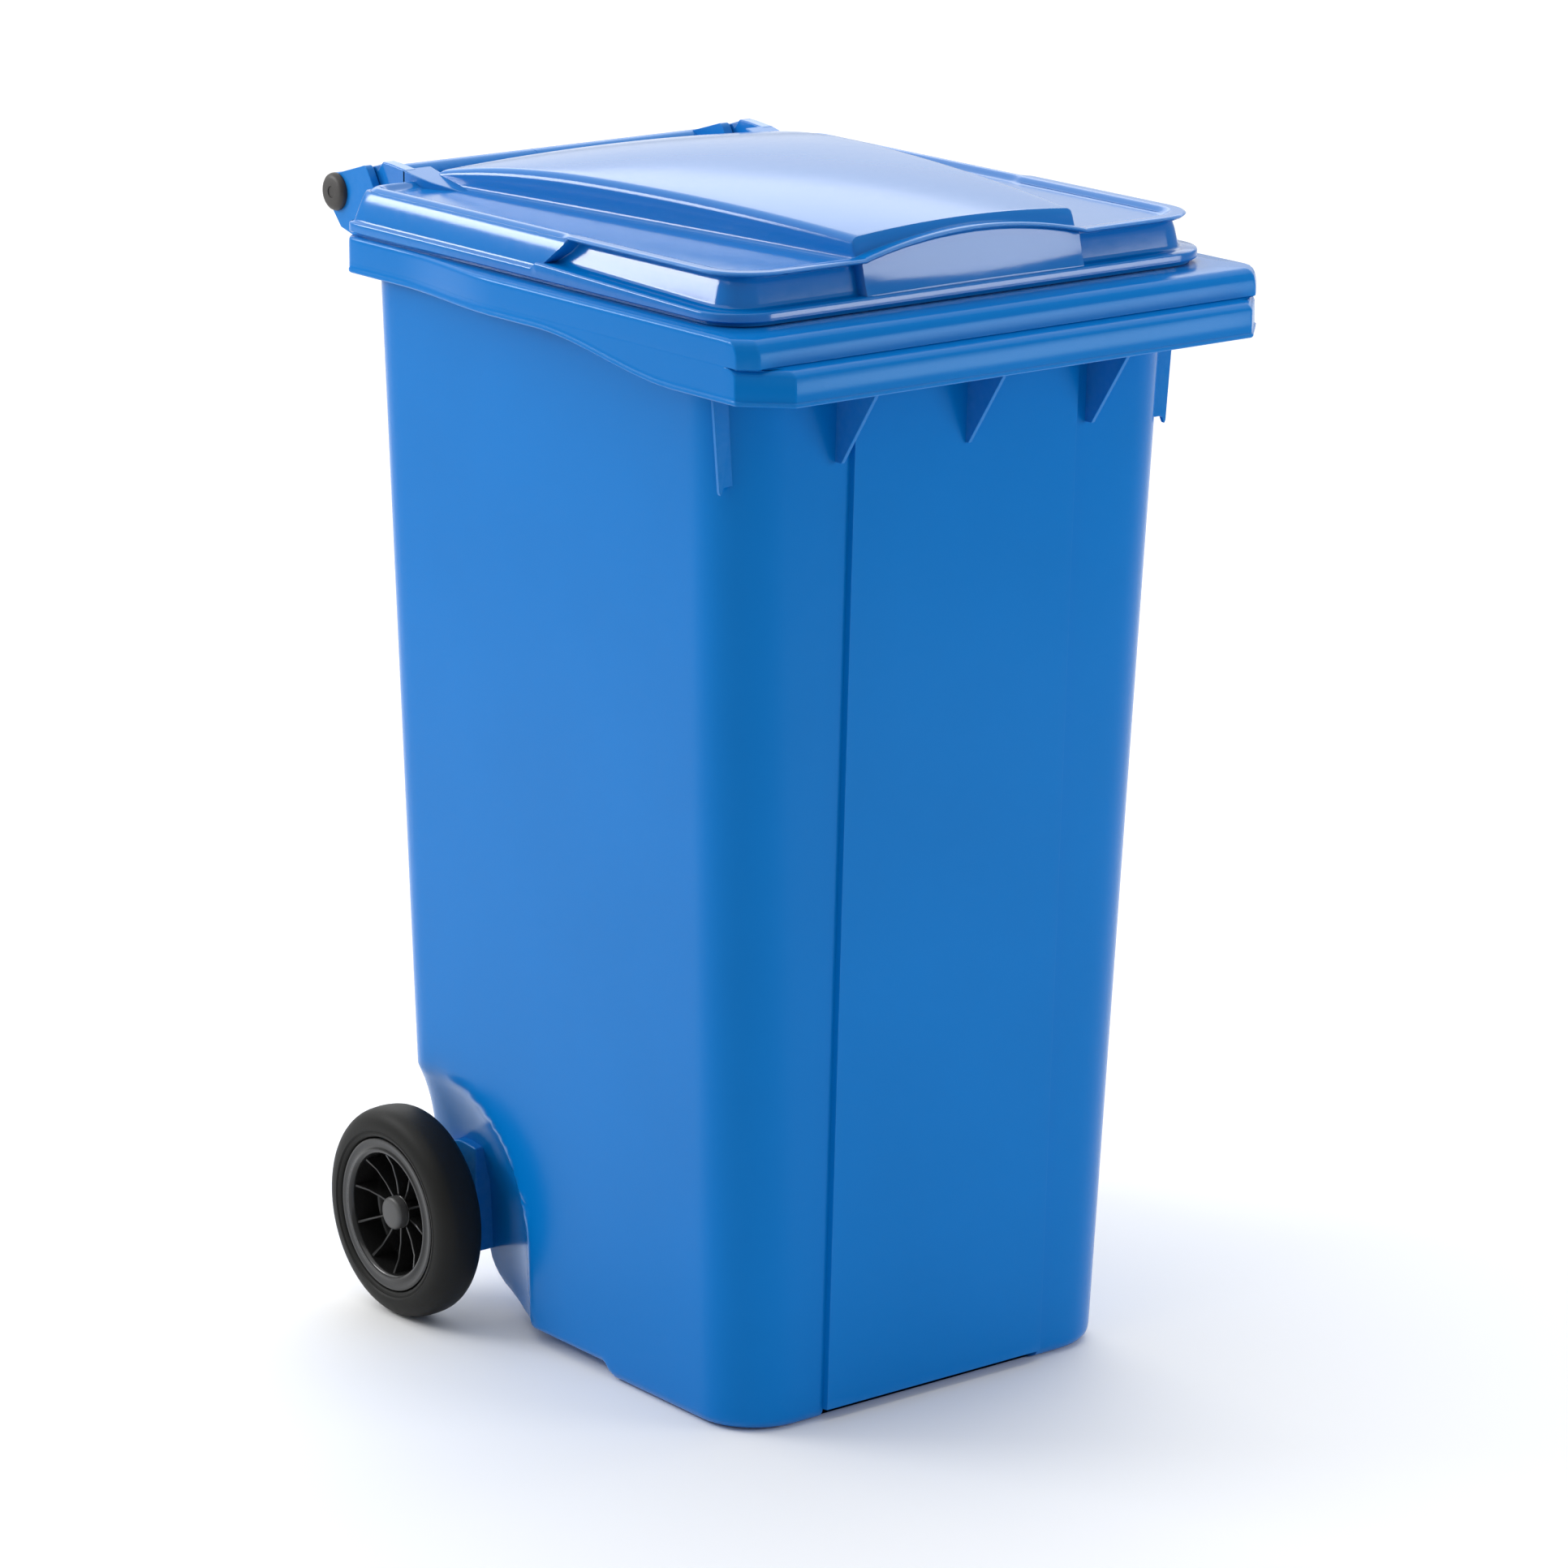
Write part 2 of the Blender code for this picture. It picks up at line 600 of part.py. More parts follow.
def make_hinge_pin(hand, side):
    head = OUTER_WEB[1] + GAP
    pin = turned(f"hinge_pin_{hand}", [
        (0, head + 0.006), (HANDLE_RADIUS - 0.003, head + 0.006), (HANDLE_RADIUS, head + 0.003),
        (HANDLE_RADIUS, head), (PIN_RADIUS, head), (PIN_RADIUS, PIN_DEPTH + 0.002),
        (PIN_RADIUS - 0.002, PIN_DEPTH), (0, PIN_DEPTH)], 32, False)
    on_axis(pin, side, HINGE_Y, HINGE_Z)
    finish(pin, BROWN_PLASTIC)


def make_axle():
    end = AXLE_HALF_LENGTH
    axle = turned("axle", [
        (0, end), (AXLE_RADIUS - 0.001, end), (AXLE_RADIUS, end - 0.001),
        (AXLE_RADIUS, 0.001 - end), (AXLE_RADIUS - 0.001, -end), (0, -end)], 32, False)
    on_axis(axle, 1, AXLE_Y, AXLE_Z)
    finish(axle, STEEL)


def make_sleeve(name, side, near, far, radius, surface):
    bore = AXLE_RADIUS + GAP
    sleeve = turned(name, [(bore, far), (radius, far), (radius, near), (bore, near)], 32, True)
    on_axis(sleeve, side, AXLE_Y, AXLE_Z)
    finish(sleeve, surface)


def make_tyre(hand, side):
    bead = RIM_RADIUS + 2 * GAP
    shoulder = TYRE_HALF_WIDTH
    half_profile = [(bead, shoulder - 0.003), (bead + 0.007, shoulder), (0.0900, 0.0225),
                    (0.0970, 0.0155), (WHEEL_RADIUS, 0.0060)]
    profile = half_profile + [(radius, -along) for radius, along in reversed(half_profile)]
    tyre = turned(f"tyre_{hand}", outwards(profile), WHEEL_STEPS, True)
    on_axis(tyre, side, AXLE_Y, AXLE_Z)
    finish(tyre, TYRE_RUBBER)


def make_spokes(hand, side):
    shape = bmesh.new()
    length = BOWL_RADIUS + 0.001 - BOSS_RADIUS + 0.002
    middle = (BOWL_RADIUS + 0.001 + BOSS_RADIUS - 0.002) / 2
    for number in range(SPOKES):
        turn = Matrix.Rotation(2 * pi * number / SPOKES, 4, "Z")
        shift = Matrix.Translation((middle, 0, WHEEL_CENTRE - 0.001))
        size = Matrix.Diagonal((length, SPOKE_WIDTH, 0.016, 1))
        bmesh.ops.create_cube(shape, size=1.0, matrix=turn @ shift @ size)
    mesh = bpy.data.meshes.new(f"spokes_{hand}")
    shape.to_mesh(mesh)
    shape.free()
    spokes = place(f"spokes_{hand}", mesh)
    on_axis(spokes, side, AXLE_Y, AXLE_Z)
    return spokes


def make_wheel_hub(hand, side):
    bore = AXLE_RADIUS + GAP
    profile = [(bore, BOSS_OUTER_END), (BOSS_RADIUS, BOSS_OUTER_END), (BOSS_RADIUS + 0.001, -0.008),
               (BOWL_RADIUS - 0.002, -0.008), (BOWL_RADIUS, 0.0210), (BOWL_RADIUS + 0.003, 0.0235),
               (RIM_RADIUS - 0.003, 0.0225), (RIM_RADIUS, 0.0195), (RIM_RADIUS, -0.0205),
               (RIM_RADIUS - 0.004, -0.0215), (BOWL_RADIUS + 0.003, -0.0205),
               (BOWL_RADIUS + 0.001, -0.0120), (BOSS_RADIUS + 0.001, -0.0120),
               (BOSS_RADIUS, BOSS_INNER_END), (bore, BOSS_INNER_END)]
    hub = turned(f"wheel_hub_{hand}", outwards(profile), WHEEL_STEPS, True)
    on_axis(hub, side, AXLE_Y, AXLE_Z)
    join(hub, make_spokes(hand, side))
    finish(hub, BLACK_PLASTIC)


def make_hub_cap(hand, side):
    low = BOSS_OUTER_END + GAP
    cap = turned(f"hub_cap_{hand}", outwards([
        (0, 0.0180), (BOSS_RADIUS - 0.0025, 0.0180), (BOSS_RADIUS, 0.0160), (BOSS_RADIUS, low),
        (BOSS_RADIUS - 0.001, low), (BOSS_RADIUS - 0.001, 0.0155), (0, 0.0155)]), 32, False)
    on_axis(cap, side, AXLE_Y, AXLE_Z)
    finish(cap, GREY_PLASTIC)


make_container()
make_comb_lip()
make_rim_collar()
make_handle()
make_lid()
make_axle()
for hand, side in (("left", -1), ("right", 1)):
    make_hinge_pin(hand, side)
    make_sleeve(f"spacer_sleeve_{hand}", side, BRACKET[1] + GAP,
                WHEEL_CENTRE + BOSS_INNER_END - 2 * GAP, BOSS_RADIUS, BLACK_PLASTIC)
    make_sleeve(f"push_on_washer_{hand}", side, WHEEL_CENTRE + BOSS_OUTER_END + 2 * GAP,
                WHEEL_CENTRE + BOSS_OUTER_END + 0.0018, 0.0138, STEEL)
    make_wheel_hub(hand, side)
    make_tyre(hand, side)
    make_hub_cap(hand, side)
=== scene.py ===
from math import cos, hypot, pi, radians, sin, sqrt, tan

import bmesh
import bpy
from mathutils import Matrix, Vector


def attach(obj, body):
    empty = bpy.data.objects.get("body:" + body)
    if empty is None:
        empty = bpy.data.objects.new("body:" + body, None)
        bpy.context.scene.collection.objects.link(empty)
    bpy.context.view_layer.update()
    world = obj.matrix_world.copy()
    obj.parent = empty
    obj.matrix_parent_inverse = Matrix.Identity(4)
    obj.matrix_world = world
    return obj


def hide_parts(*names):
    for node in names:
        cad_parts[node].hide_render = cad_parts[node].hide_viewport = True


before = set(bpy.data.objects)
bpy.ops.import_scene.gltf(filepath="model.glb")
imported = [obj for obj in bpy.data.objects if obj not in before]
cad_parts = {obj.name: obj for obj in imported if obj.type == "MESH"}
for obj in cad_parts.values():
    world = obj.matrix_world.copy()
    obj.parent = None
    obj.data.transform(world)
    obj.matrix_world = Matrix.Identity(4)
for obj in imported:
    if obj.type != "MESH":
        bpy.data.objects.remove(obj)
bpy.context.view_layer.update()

# ---------------------------------------------------------------------------------------
# Studio. The bin stands on a plain pale floor in soft white light: a very wide ceiling
# panel behind it, a broad panel at the rear right, and small ones rear left and front right.
# ---------------------------------------------------------------------------------------
world = bpy.data.worlds.new("studio_air")
world.use_nodes = True
world.node_tree.nodes["Background"].inputs["Color"].default_value = (0.96, 0.98, 1.0, 1.0)
world.node_tree.nodes["Background"].inputs["Strength"].default_value = 0.43
bpy.context.scene.world = world
bpy.context.scene.view_settings.view_transform = "Standard"

CAMERA_PLACE = Vector((-3.3266, -4.2625, 1.992))
CAMERA_YAW = radians(38.19)
CAMERA_PITCH = radians(15.31)
CAMERA_ROLL = radians(0.327)
camera_data = bpy.data.cameras.new("camera")
camera_data.sensor_width = 36.0
camera_data.lens = 140.9
camera = bpy.data.objects.new("camera", camera_data)
bpy.context.scene.collection.objects.link(camera)
ahead = Vector((sin(CAMERA_YAW) * cos(CAMERA_PITCH), cos(CAMERA_YAW) * cos(CAMERA_PITCH),
                -sin(CAMERA_PITCH)))
right_hand = Vector((cos(CAMERA_YAW), -sin(CAMERA_YAW), 0.0))
upward = right_hand.cross(ahead)
turned_right = cos(CAMERA_ROLL) * right_hand + sin(CAMERA_ROLL) * upward
turned_up = cos(CAMERA_ROLL) * upward - sin(CAMERA_ROLL) * right_hand
camera.matrix_world = Matrix.Translation(CAMERA_PLACE) @ Matrix(
    (turned_right, turned_up, -ahead)).transposed().to_4x4()
bpy.context.scene.camera = camera


def light_panel(name, place, aim, width, height, power):
    data = bpy.data.lights.new(name, "AREA")
    data.shape = "RECTANGLE"
    data.size = width
    data.size_y = height
    data.energy = power
    panel = bpy.data.objects.new(name, data)
    panel.location = place
    panel.rotation_euler = (Vector(aim) - Vector(place)).to_track_quat("-Z", "Y").to_euler()
    panel.visible_camera = False
    bpy.context.scene.collection.objects.link(panel)


light_panel("ceiling", (1.5, 12.0, 7.0), (1.5, 12.0, 0.0), 28.0, 28.0, 2900)
light_panel("front_softbox", (1.60, -2.40, 1.20), (0.0, -0.30, 1.0), 1.2, 0.8, 22)
light_panel("left_softbox", (-1.80, 1.80, 1.66), (-0.20, 0.0, 1.05), 1.2, 0.5, 26)
light_panel("back_wall", (2.40, 3.00, 2.10), (0.0, 0.0, 1.1), 6.0, 2.2, 30)

floor_mesh = bpy.data.meshes.new("floor")
floor_shape = bmesh.new()
bmesh.ops.create_grid(floor_shape, x_segments=1, y_segments=1, size=40.0)
floor_shape.to_mesh(floor_mesh)
floor_shape.free()
floor = bpy.data.objects.new("floor", floor_mesh)
bpy.context.scene.collection.objects.link(floor)
floor_paint = bpy.data.materials.new("floor_paint")
floor_paint.use_nodes = True
floor_shader = floor_paint.node_tree.nodes["Principled BSDF"]
floor_shader.inputs["Base Color"].default_value = (0.90, 0.90, 0.90, 1.0)
floor_shader.inputs["Roughness"].default_value = 0.65
floor_mesh.materials.append(floor_paint)

# ---------------------------------------------------------------------------------------
# Container. One injection moulding of blue polyethylene: tapered walls 4.5 mm thick, a
# floor with a raised heel, a recess beside each wheel, and a hollow rim whose front is a
# comb lip in two tiers. The mould leaves a fine grain and slight waves in the long walls.
# ---------------------------------------------------------------------------------------


def moulded_plastic(name, colour, pale, gloss, grain, shine=0.5):
    """Moulded plastic: cloudy colour, fine grain, faint waves, and a painted highlight on sharp convex
    edges.
    """
    made = bpy.data.materials.new(name)
    made.use_nodes = True
    nodes, links = made.node_tree.nodes, made.node_tree.links
    shader = nodes["Principled BSDF"]
    shader.inputs["Specular IOR Level"].default_value = shine
    place = nodes.new("ShaderNodeTexCoord")
    clouds = nodes.new("ShaderNodeTexNoise")
    clouds.inputs["Scale"].default_value = 5.0
    clouds.inputs["Detail"].default_value = 5.0
    specks = nodes.new("ShaderNodeTexNoise")
    specks.inputs["Scale"].default_value = 130.0
    specks.inputs["Detail"].default_value = 3.0
    skin = nodes.new("ShaderNodeTexNoise")
    skin.inputs["Scale"].default_value = 420.0
    skin.inputs["Detail"].default_value = 2.0
    for texture in (clouds, specks, skin):
        links.new(place.outputs["Object"], texture.inputs["Vector"])
    tone = nodes.new("ShaderNodeMix")
    tone.data_type = "RGBA"
    tone.inputs["A"].default_value = (*[part * 0.93 for part in colour], 1.0)
    tone.inputs["B"].default_value = (*[part * 1.07 for part in colour], 1.0)
    links.new(clouds.outputs["Fac"], tone.inputs["Factor"])
    # Painted highlight: sharp convex edges (high pointiness) are mixed towards the pale colour, made
    # patchy by the speck noise.
    highlight_mask = nodes.new("ShaderNodeMapRange")
    highlight_mask.inputs["From Min"].default_value = 0.515
    highlight_mask.inputs["From Max"].default_value = 0.600
    highlight_mask.inputs["To Max"].default_value = 0.30
    geometry = nodes.new("ShaderNodeNewGeometry")
    links.new(geometry.outputs["Pointiness"], highlight_mask.inputs["Value"])
    patchy_highlight = nodes.new("ShaderNodeMath")
    patchy_highlight.operation = "MULTIPLY"
    links.new(highlight_mask.outputs["Result"], patchy_highlight.inputs[0])
    links.new(specks.outputs["Fac"], patchy_highlight.inputs[1])
    painted_highlight = nodes.new("ShaderNodeMix")
    painted_highlight.data_type = "RGBA"
    painted_highlight.inputs["B"].default_value = (*pale, 1.0)
    links.new(patchy_highlight.outputs["Value"], painted_highlight.inputs["Factor"])
    links.new(tone.outputs["Result"], painted_highlight.inputs["A"])
    links.new(painted_highlight.outputs["Result"], shader.inputs["Base Color"])
    sheen = nodes.new("ShaderNodeMapRange")
    sheen.inputs["To Min"].default_value = gloss - 0.03
    sheen.inputs["To Max"].default_value = gloss + 0.04
    links.new(specks.outputs["Fac"], sheen.inputs["Value"])
    links.new(sheen.outputs["Result"], shader.inputs["Roughness"])
    waves = nodes.new("ShaderNodeBump")
    waves.inputs["Strength"].default_value = 0.12
    waves.inputs["Distance"].default_value = 0.004
    links.new(clouds.outputs["Fac"], waves.inputs["Height"])
    pores = nodes.new("ShaderNodeBump")
    pores.inputs["Strength"].default_value = grain
    pores.inputs["Distance"].default_value = 0.0003
    links.new(skin.outputs["Fac"], pores.inputs["Height"])
    links.new(waves.outputs["Normal"], pores.inputs["Normal"])
    links.new(pores.outputs["Normal"], shader.inputs["Normal"])
    return made


BIN_BLUE = (0.000, 0.165, 0.530)
# A paler blue painted onto sharp convex edges as a highlight.
EDGE_HIGHLIGHT_BLUE = (0.150, 0.360, 0.700)
container_plastic = moulded_plastic("container_polyethylene", BIN_BLUE, EDGE_HIGHLIGHT_BLUE, 0.20, 0.04, 0.20)
container_shader = container_plastic.node_tree.nodes["Principled BSDF"]
container_shader.inputs["Specular Tint"].default_value = (0.45, 0.76, 1.0, 1.0)

WALL = 0.0045
SHOULDER_HEIGHT = 0.950
HALF_WIDTH = (0.2175, 0.254)        # at the foot and at the shoulder under the rim
FRONT_LINE = (-0.254, -0.284)
REAR_LINE = (0.255, 0.259)
FRONT_CORNER = 0.057
REAR_CORNER = 0.040
RIM_TOP = 1.010
AXLE_Y = 0.200
AXLE_Z = 0.100
PANEL_EDGE = 0.126
PANEL_RAISE = 0.005
PANEL_SETBACK = 0.012               # below the panel's foot
CORNER_POINTS = 12


def between(start, end, share):
    return start + (end - start) * share


def eased(share):
    share = min(1.0, max(0.0, share))
    return share * share * (3.0 - 2.0 * share)


def arc(centre, radius, start, end, points):
    """Points on an arc in plan, from one angle to another."""
    return [(centre[0] + radius * cos(between(start, end, step / (points - 1))),
             centre[1] + radius * sin(between(start, end, step / (points - 1))))
            for step in range(points)]


def cut_corner(half, front, leg):
    """A corner cut off at 45 degrees, with its two edges slightly rounded."""
    soft = 0.004
    reach = soft * tan(pi / 8)
    points = CORNER_POINTS // 2
    first = arc((half - leg - reach, front + soft), soft, -pi / 2, -pi / 4, points)
    second = arc((half - soft, front + leg + reach), soft, -pi / 4, 0.0, points)
    return first + second


def outline(half, rear_half, front, rear, corner, rear_corner, chamfer=0.0, side_points=52):
    """Half a line in plan with a fixed count of points: front, corner, side, rear.

    Between the two halves of its width the side draws in along an eased line.
    """
    taper_start = 0.010
    taper_length = 0.170
    run = [0.0, 0.03, 0.06, 0.09, 0.1232, PANEL_EDGE - 0.0016, PANEL_EDGE - 0.0004, 0.140, 0.165]
    line = [(x, front) for x in run if x < half - max(corner, chamfer) - 0.002]
    while len(line) < len(run):
        line.append((between(line[-1][0], half - max(corner, chamfer), 0.5), front))
    if chamfer:
        line += cut_corner(half, front, chamfer)
    else:
        line += arc((half - corner, front + corner), corner, -pi / 2, 0.0, CORNER_POINTS)
    side_start = line[-1][1]
    rear_start = rear - rear_corner
    for step in range(1, side_points):
        share = step / side_points
        y = between(side_start, rear_start, share)
        line.append((between(half, rear_half, eased((y - taper_start) / taper_length)), y))
    line += arc((rear_half - rear_corner, rear_start), rear_corner, 0.0, pi / 2, 9)
    for step in range(1, 7):
        line.append(((rear_half - rear_corner) * (1 - step / 6), rear))
    return line


def whole(line, height):
    """The full ring of a half line: its height is a number or a rule of x and y."""
    rule = height if callable(height) else lambda x, y: height
    right = [(x, y, rule(x, y)) for x, y in line]
    return right + [(-x, y, z) for x, y, z in reversed(right[1:-1])]


def rear_of_wall(z):
    """The rear wall tucks in below the axle's tunnel and rounds into the floor."""
    full = between(*REAR_LINE, z / SHOULDER_HEIGHT)
    tucked = 0.172
    turn = 0.052
    low = 0.011
    if z < low + turn:
        fall = min(turn, low + turn - z)
        return tucked - turn + sqrt(turn * turn - fall * fall)
    return between(tucked, full, eased((z - 0.122) / 0.034))


def wheel_recess(y, z):
    """How far the side wall is pressed in beside the wheel."""
    reach = 0.135
    depth = 0.034
    away = hypot(y - AXLE_Y + 0.002, max(z - AXLE_Z + 0.006, 0.0)) / reach
    return depth * max(0.0, 1.0 - away * away) ** 0.8


def wall_ring(z, inset, edge=0.0, panel=True):
    """The container's wall at a height. Edge draws it in further where it rounds under."""
    share = z / SHOULDER_HEIGHT
    half = between(*HALF_WIDTH, share) - inset - edge
    front = between(*FRONT_LINE, share) + inset + edge
    tuck = eased((0.16 - z) / 0.05)
    rear_corner = between(REAR_CORNER, 0.034, tuck) - inset
    line = outline(half, half, front, rear_of_wall(max(z, 0.0115)) - inset - edge,
                   FRONT_CORNER - inset, rear_corner)
    points = []
    for x, y in line:
        if panel and x < PANEL_EDGE - 0.001 and y < front + 0.001:
            y -= PANEL_RAISE if z > 0.010 else -PANEL_SETBACK
        inward = max(0.0, min(1.0, (x - half + rear_corner) / rear_corner))
        points.append((x - wheel_recess(y, z) * inward, y))
    lifted = max(0.0, 1.0 - z / 0.05)
    return whole(points, lambda x, y: z + 0.011 * lifted * eased((y + 0.061) / 0.014))


def skin_over(name, rings, surface, floor_first=True, floor_last=True):
    """A closed skin through rings. Its first and last rings are filled from side to side."""
    shape = bmesh.new()
    loops = [[shape.verts.new(point) for point in points] for points in rings]
    count = len(rings[0])
    for lower, upper in zip(loops, loops[1:]):
        for index in range(count):
            after = (index + 1) % count
            shape.faces.new((lower[index], lower[after], upper[after], upper[index]))
    for loop, wanted in ((loops[0], floor_first), (loops[-1], floor_last)):
        if not wanted:
            continue
        half = count // 2
        shape.faces.new((loop[0], loop[1], loop[-1]))
        for index in range(1, half - 1):
            shape.faces.new((loop[index], loop[index + 1], loop[-index - 1], loop[-index]))
        shape.faces.new((loop[half - 1], loop[half], loop[half + 1]))
    bmesh.ops.recalc_face_normals(shape, faces=shape.faces)
    return piece_from(name, shape, surface)


def piece_from(name, shape, surface, sharp=38.0):
    mesh = bpy.data.meshes.new(name)
    shape.to_mesh(mesh)
    shape.free()
    mesh.materials.append(surface)
    mesh.shade_smooth()
    mesh.set_sharp_from_angle(angle=radians(sharp))
    made = bpy.data.objects.new(name, mesh)
    bpy.context.scene.collection.objects.link(made)
    return made


LOWER_TIER = (-0.370, 0.036)        # front line and the leg of the cut corner
UPPER_TIER = (-0.348, 0.014)
RIM_HALF = 0.290
RIM_REAR_HALF = 0.272
RIM_REAR = 0.266
RIM_REAR_CORNER = 0.012
RIM_WALL = 0.0035


def skirt_edge(lift):
    """The rim's lower edge: level along the front, rising to the rear along the sides."""
    return lambda x, y: between(0.955, 0.977, eased((y + 0.25) / 0.20)) + lift


def above_skirt(z, lift):
    """A level height that gives way where the skirt's lower edge comes up to it."""
    return lambda x, y: max(z, skirt_edge(lift)(x, y))


def rim_ring(tier, across, along, height):
    """The rim's line for one tier, moved inwards at its sides and at its front."""
    front, leg = tier
    line = outline(RIM_HALF - across, RIM_REAR_HALF - across, front + along, RIM_REAR - across,
                   0.0, RIM_REAR_CORNER - across, chamfer=leg)
    return whole(line, height)


outer_heights = [0.0135, 0.020, 0.028, 0.036, 0.045, 0.055, 0.065, 0.076, 0.088, 0.100, 0.110,
                 0.118, 0.124, 0.129, 0.134, 0.139, 0.144, 0.149, 0.154, 0.160, 0.168, 0.177,
                 0.187, 0.197, 0.207, 0.217, 0.227, 0.237, 0.250, 0.280, 0.330, 0.400, 0.480,
                 0.560, 0.640, 0.720, 0.800, 0.870, 0.930, 0.970, 1.000]
container_rings = [wall_ring(0.0, 0.0, 0.0120), wall_ring(0.0012, 0.0, 0.0070),
                   wall_ring(0.0035, 0.0, 0.0035), wall_ring(0.0070, 0.0, 0.0010),
                   wall_ring(0.0098, 0.0, 0.0003), wall_ring(0.0104, 0.0, 0.0002)]
container_rings += [wall_ring(z, 0.0) for z in outer_heights]
container_rings += [
    wall_ring(1.0050, -0.001), wall_ring(1.0060, -0.003),
    rim_ring(UPPER_TIER, RIM_WALL + 0.002, RIM_WALL + 0.002, 1.0060),
    rim_ring(UPPER_TIER, RIM_WALL, RIM_WALL, 1.0040), rim_ring(UPPER_TIER, RIM_WALL, RIM_WALL, 0.9850),
    rim_ring(LOWER_TIER, RIM_WALL, RIM_WALL + 0.002, 0.9822),
    rim_ring(LOWER_TIER, RIM_WALL, RIM_WALL, 0.9800),
    rim_ring(LOWER_TIER, RIM_WALL, RIM_WALL, skirt_edge(0.0010)),
    rim_ring(LOWER_TIER, 0.0025, 0.0025, skirt_edge(0.0)),
    rim_ring(LOWER_TIER, 0.0008, 0.0008, skirt_edge(0.0)),
    rim_ring(LOWER_TIER, 0.0, 0.0, skirt_edge(0.0010)),
    rim_ring(LOWER_TIER, 0.0, 0.0, skirt_edge(0.0032)),
    rim_ring(LOWER_TIER, 0.0006, 0.0012, skirt_edge(0.0042)),
    rim_ring(LOWER_TIER, 0.0006, 0.0014, skirt_edge(0.0080))]
for along, z, lift in ((0.0016, 0.9790, 0.0081), (0.0030, 0.9810, 0.0082), (0.0052, 0.9830, 0.0083),
                       (0.0080, 0.9845, 0.0084), (0.0120, 0.9854, 0.0086), (0.0160, 0.9858, 0.0088)):
    container_rings.append(rim_ring(LOWER_TIER, 0.0006, along, above_skirt(z, lift)))
for across, along, z in ((0.0007, 0.0006, 0.9861), (0.0006, -0.0002, 0.9868),
                         (0.0006, 0.0, 0.9950), (0.0006, 0.0010, 1.0000),
                         (0.0006, 0.0026, 1.0040), (0.0008, 0.0052, 1.0070),
                         (0.0016, 0.0084, 1.0090), (0.0032, 0.0125, 1.0100)):
    container_rings.append(rim_ring(UPPER_TIER, across, along, z))
container_rings += [wall_ring(RIM_TOP, WALL - 0.0015, panel=False),
                    wall_ring(RIM_TOP - 0.0005, WALL - 0.0004, panel=False)]
inner_heights = [1.008, 0.970, 0.900, 0.800, 0.700, 0.600, 0.500, 0.400, 0.330, 0.280] + [
    z + 0.004 for z in reversed(outer_heights[:29])]
container_rings += [wall_ring(z, WALL, panel=False) for z in inner_heights]
container_rings += [wall_ring(0.0110, WALL, 0.0010, False), wall_ring(0.0075, WALL, 0.0035, False),
                    wall_ring(0.0055, WALL, 0.0080, False)]
container_shell = skin_over("container_shell", container_rings, container_plastic)
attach(container_shell, "bin")
for node in ("container", "container_foot", "axle_housing", "comb_lip", "rim_collar"):
    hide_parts(node)

# ---------------------------------------------------------------------------------------
# Ribs of the container. Thin plates of the same moulding: three gussets that carry the
# comb lip, a rib plate beside each front corner, the hinge webs and the axle brackets.
# ---------------------------------------------------------------------------------------


def slab(name, corners, depth, surface, soft):
    """A flat moulded plate: the corners of one face, and the vector to its other face."""
    shape = bmesh.new()
    face = shape.faces.new([shape.verts.new(corner) for corner in corners])
    grown = bmesh.ops.extrude_face_region(shape, geom=[face])
    moved = [part for part in grown["geom"] if isinstance(part, bmesh.types.BMVert)]
    bmesh.ops.translate(shape, verts=moved, vec=depth)
    bmesh.ops.recalc_face_normals(shape, faces=shape.faces)
    made = piece_from(name, shape, surface)
    rounding = made.modifiers.new("rounded_edges", "BEVEL")
    rounding.width = soft
    rounding.segments = 2
    rounding.limit_method = "ANGLE"
    rounding.angle_limit = radians(35)
    rounding.harden_normals = True
    return made


def plate(name, side_view, low, high, surface, soft=0.0008):
    """A slab with its outline in side view, between two values of X."""
    return slab(name, [(low, y, z) for y, z in side_view], (high - low, 0.0, 0.0), surface, soft)


def container_part(made, node):
    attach(made, "bin")
    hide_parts(node)


GUSSETS = (-0.140, 0.0, 0.140)
RIB_THICKNESS = 0.004               # of the gussets and of the corner ribs
CORNER_RIB_FRONT = -0.262
HINGE_WEBS = (("inner", 0.186, 0.196), ("outer", 0.212, 0.220))
AXLE_BRACKET = (0.176, 0.206)
wall_front = FRONT_LINE[1] + 0.004
for number, x in enumerate(GUSSETS):
    container_part(plate(f"lip_gusset_{number + 1}", [
        (wall_front, 0.880), (wall_front, 1.004), (-0.343, 1.004), (-0.345, 0.960),
        (wall_front - 0.010, 0.880)], x - RIB_THICKNESS / 2, x + RIB_THICKNESS / 2,
        container_plastic, 0.0006), "comb_lip")
rib_view = [(0.228, 0.868), (0.243, 0.868), (0.246, 0.867), (0.2475, 0.863), (0.249, 0.861),
            (0.2505, 0.864), (0.258, 0.955), (0.258, 1.004), (0.228, 1.004)]
for hand, side in (("left", -1), ("right", 1)):
    container_part(slab(f"corner_rib_{hand}", [(side * x, CORNER_RIB_FRONT, z) for x, z in rib_view],
                        (0.0, RIB_THICKNESS, 0.0), container_plastic, 0.0006), "comb_lip")

HINGE_Y = 0.3525
HINGE_Z = 1.032
HANDLE_RADIUS = 0.0175


def round_the_hinge(start, end, count):
    """Points round the hinge line in side view, by the angle from straight back, in degrees."""
    return arc((HINGE_Y, HINGE_Z), HANDLE_RADIUS, radians(start), radians(end), count)


web_view = [(0.262, 0.979), (HINGE_Y - 0.006, 1.000)] + round_the_hinge(-30, 96, 22) + [
    (0.308, 1.0618), (0.3055, 1.0612), (0.3025, 1.0585), (0.272, RIM_TOP - 0.0003),
    (0.262, RIM_TOP - 0.0003)]
for hand, side in (("left", -1), ("right", 1)):
    for name, near, far in HINGE_WEBS:
        low, high = sorted((side * near, side * far))
        container_part(plate(f"{name}_hinge_web_{hand}", web_view, low, high, container_plastic),
                       f"{name}_web_{hand}")

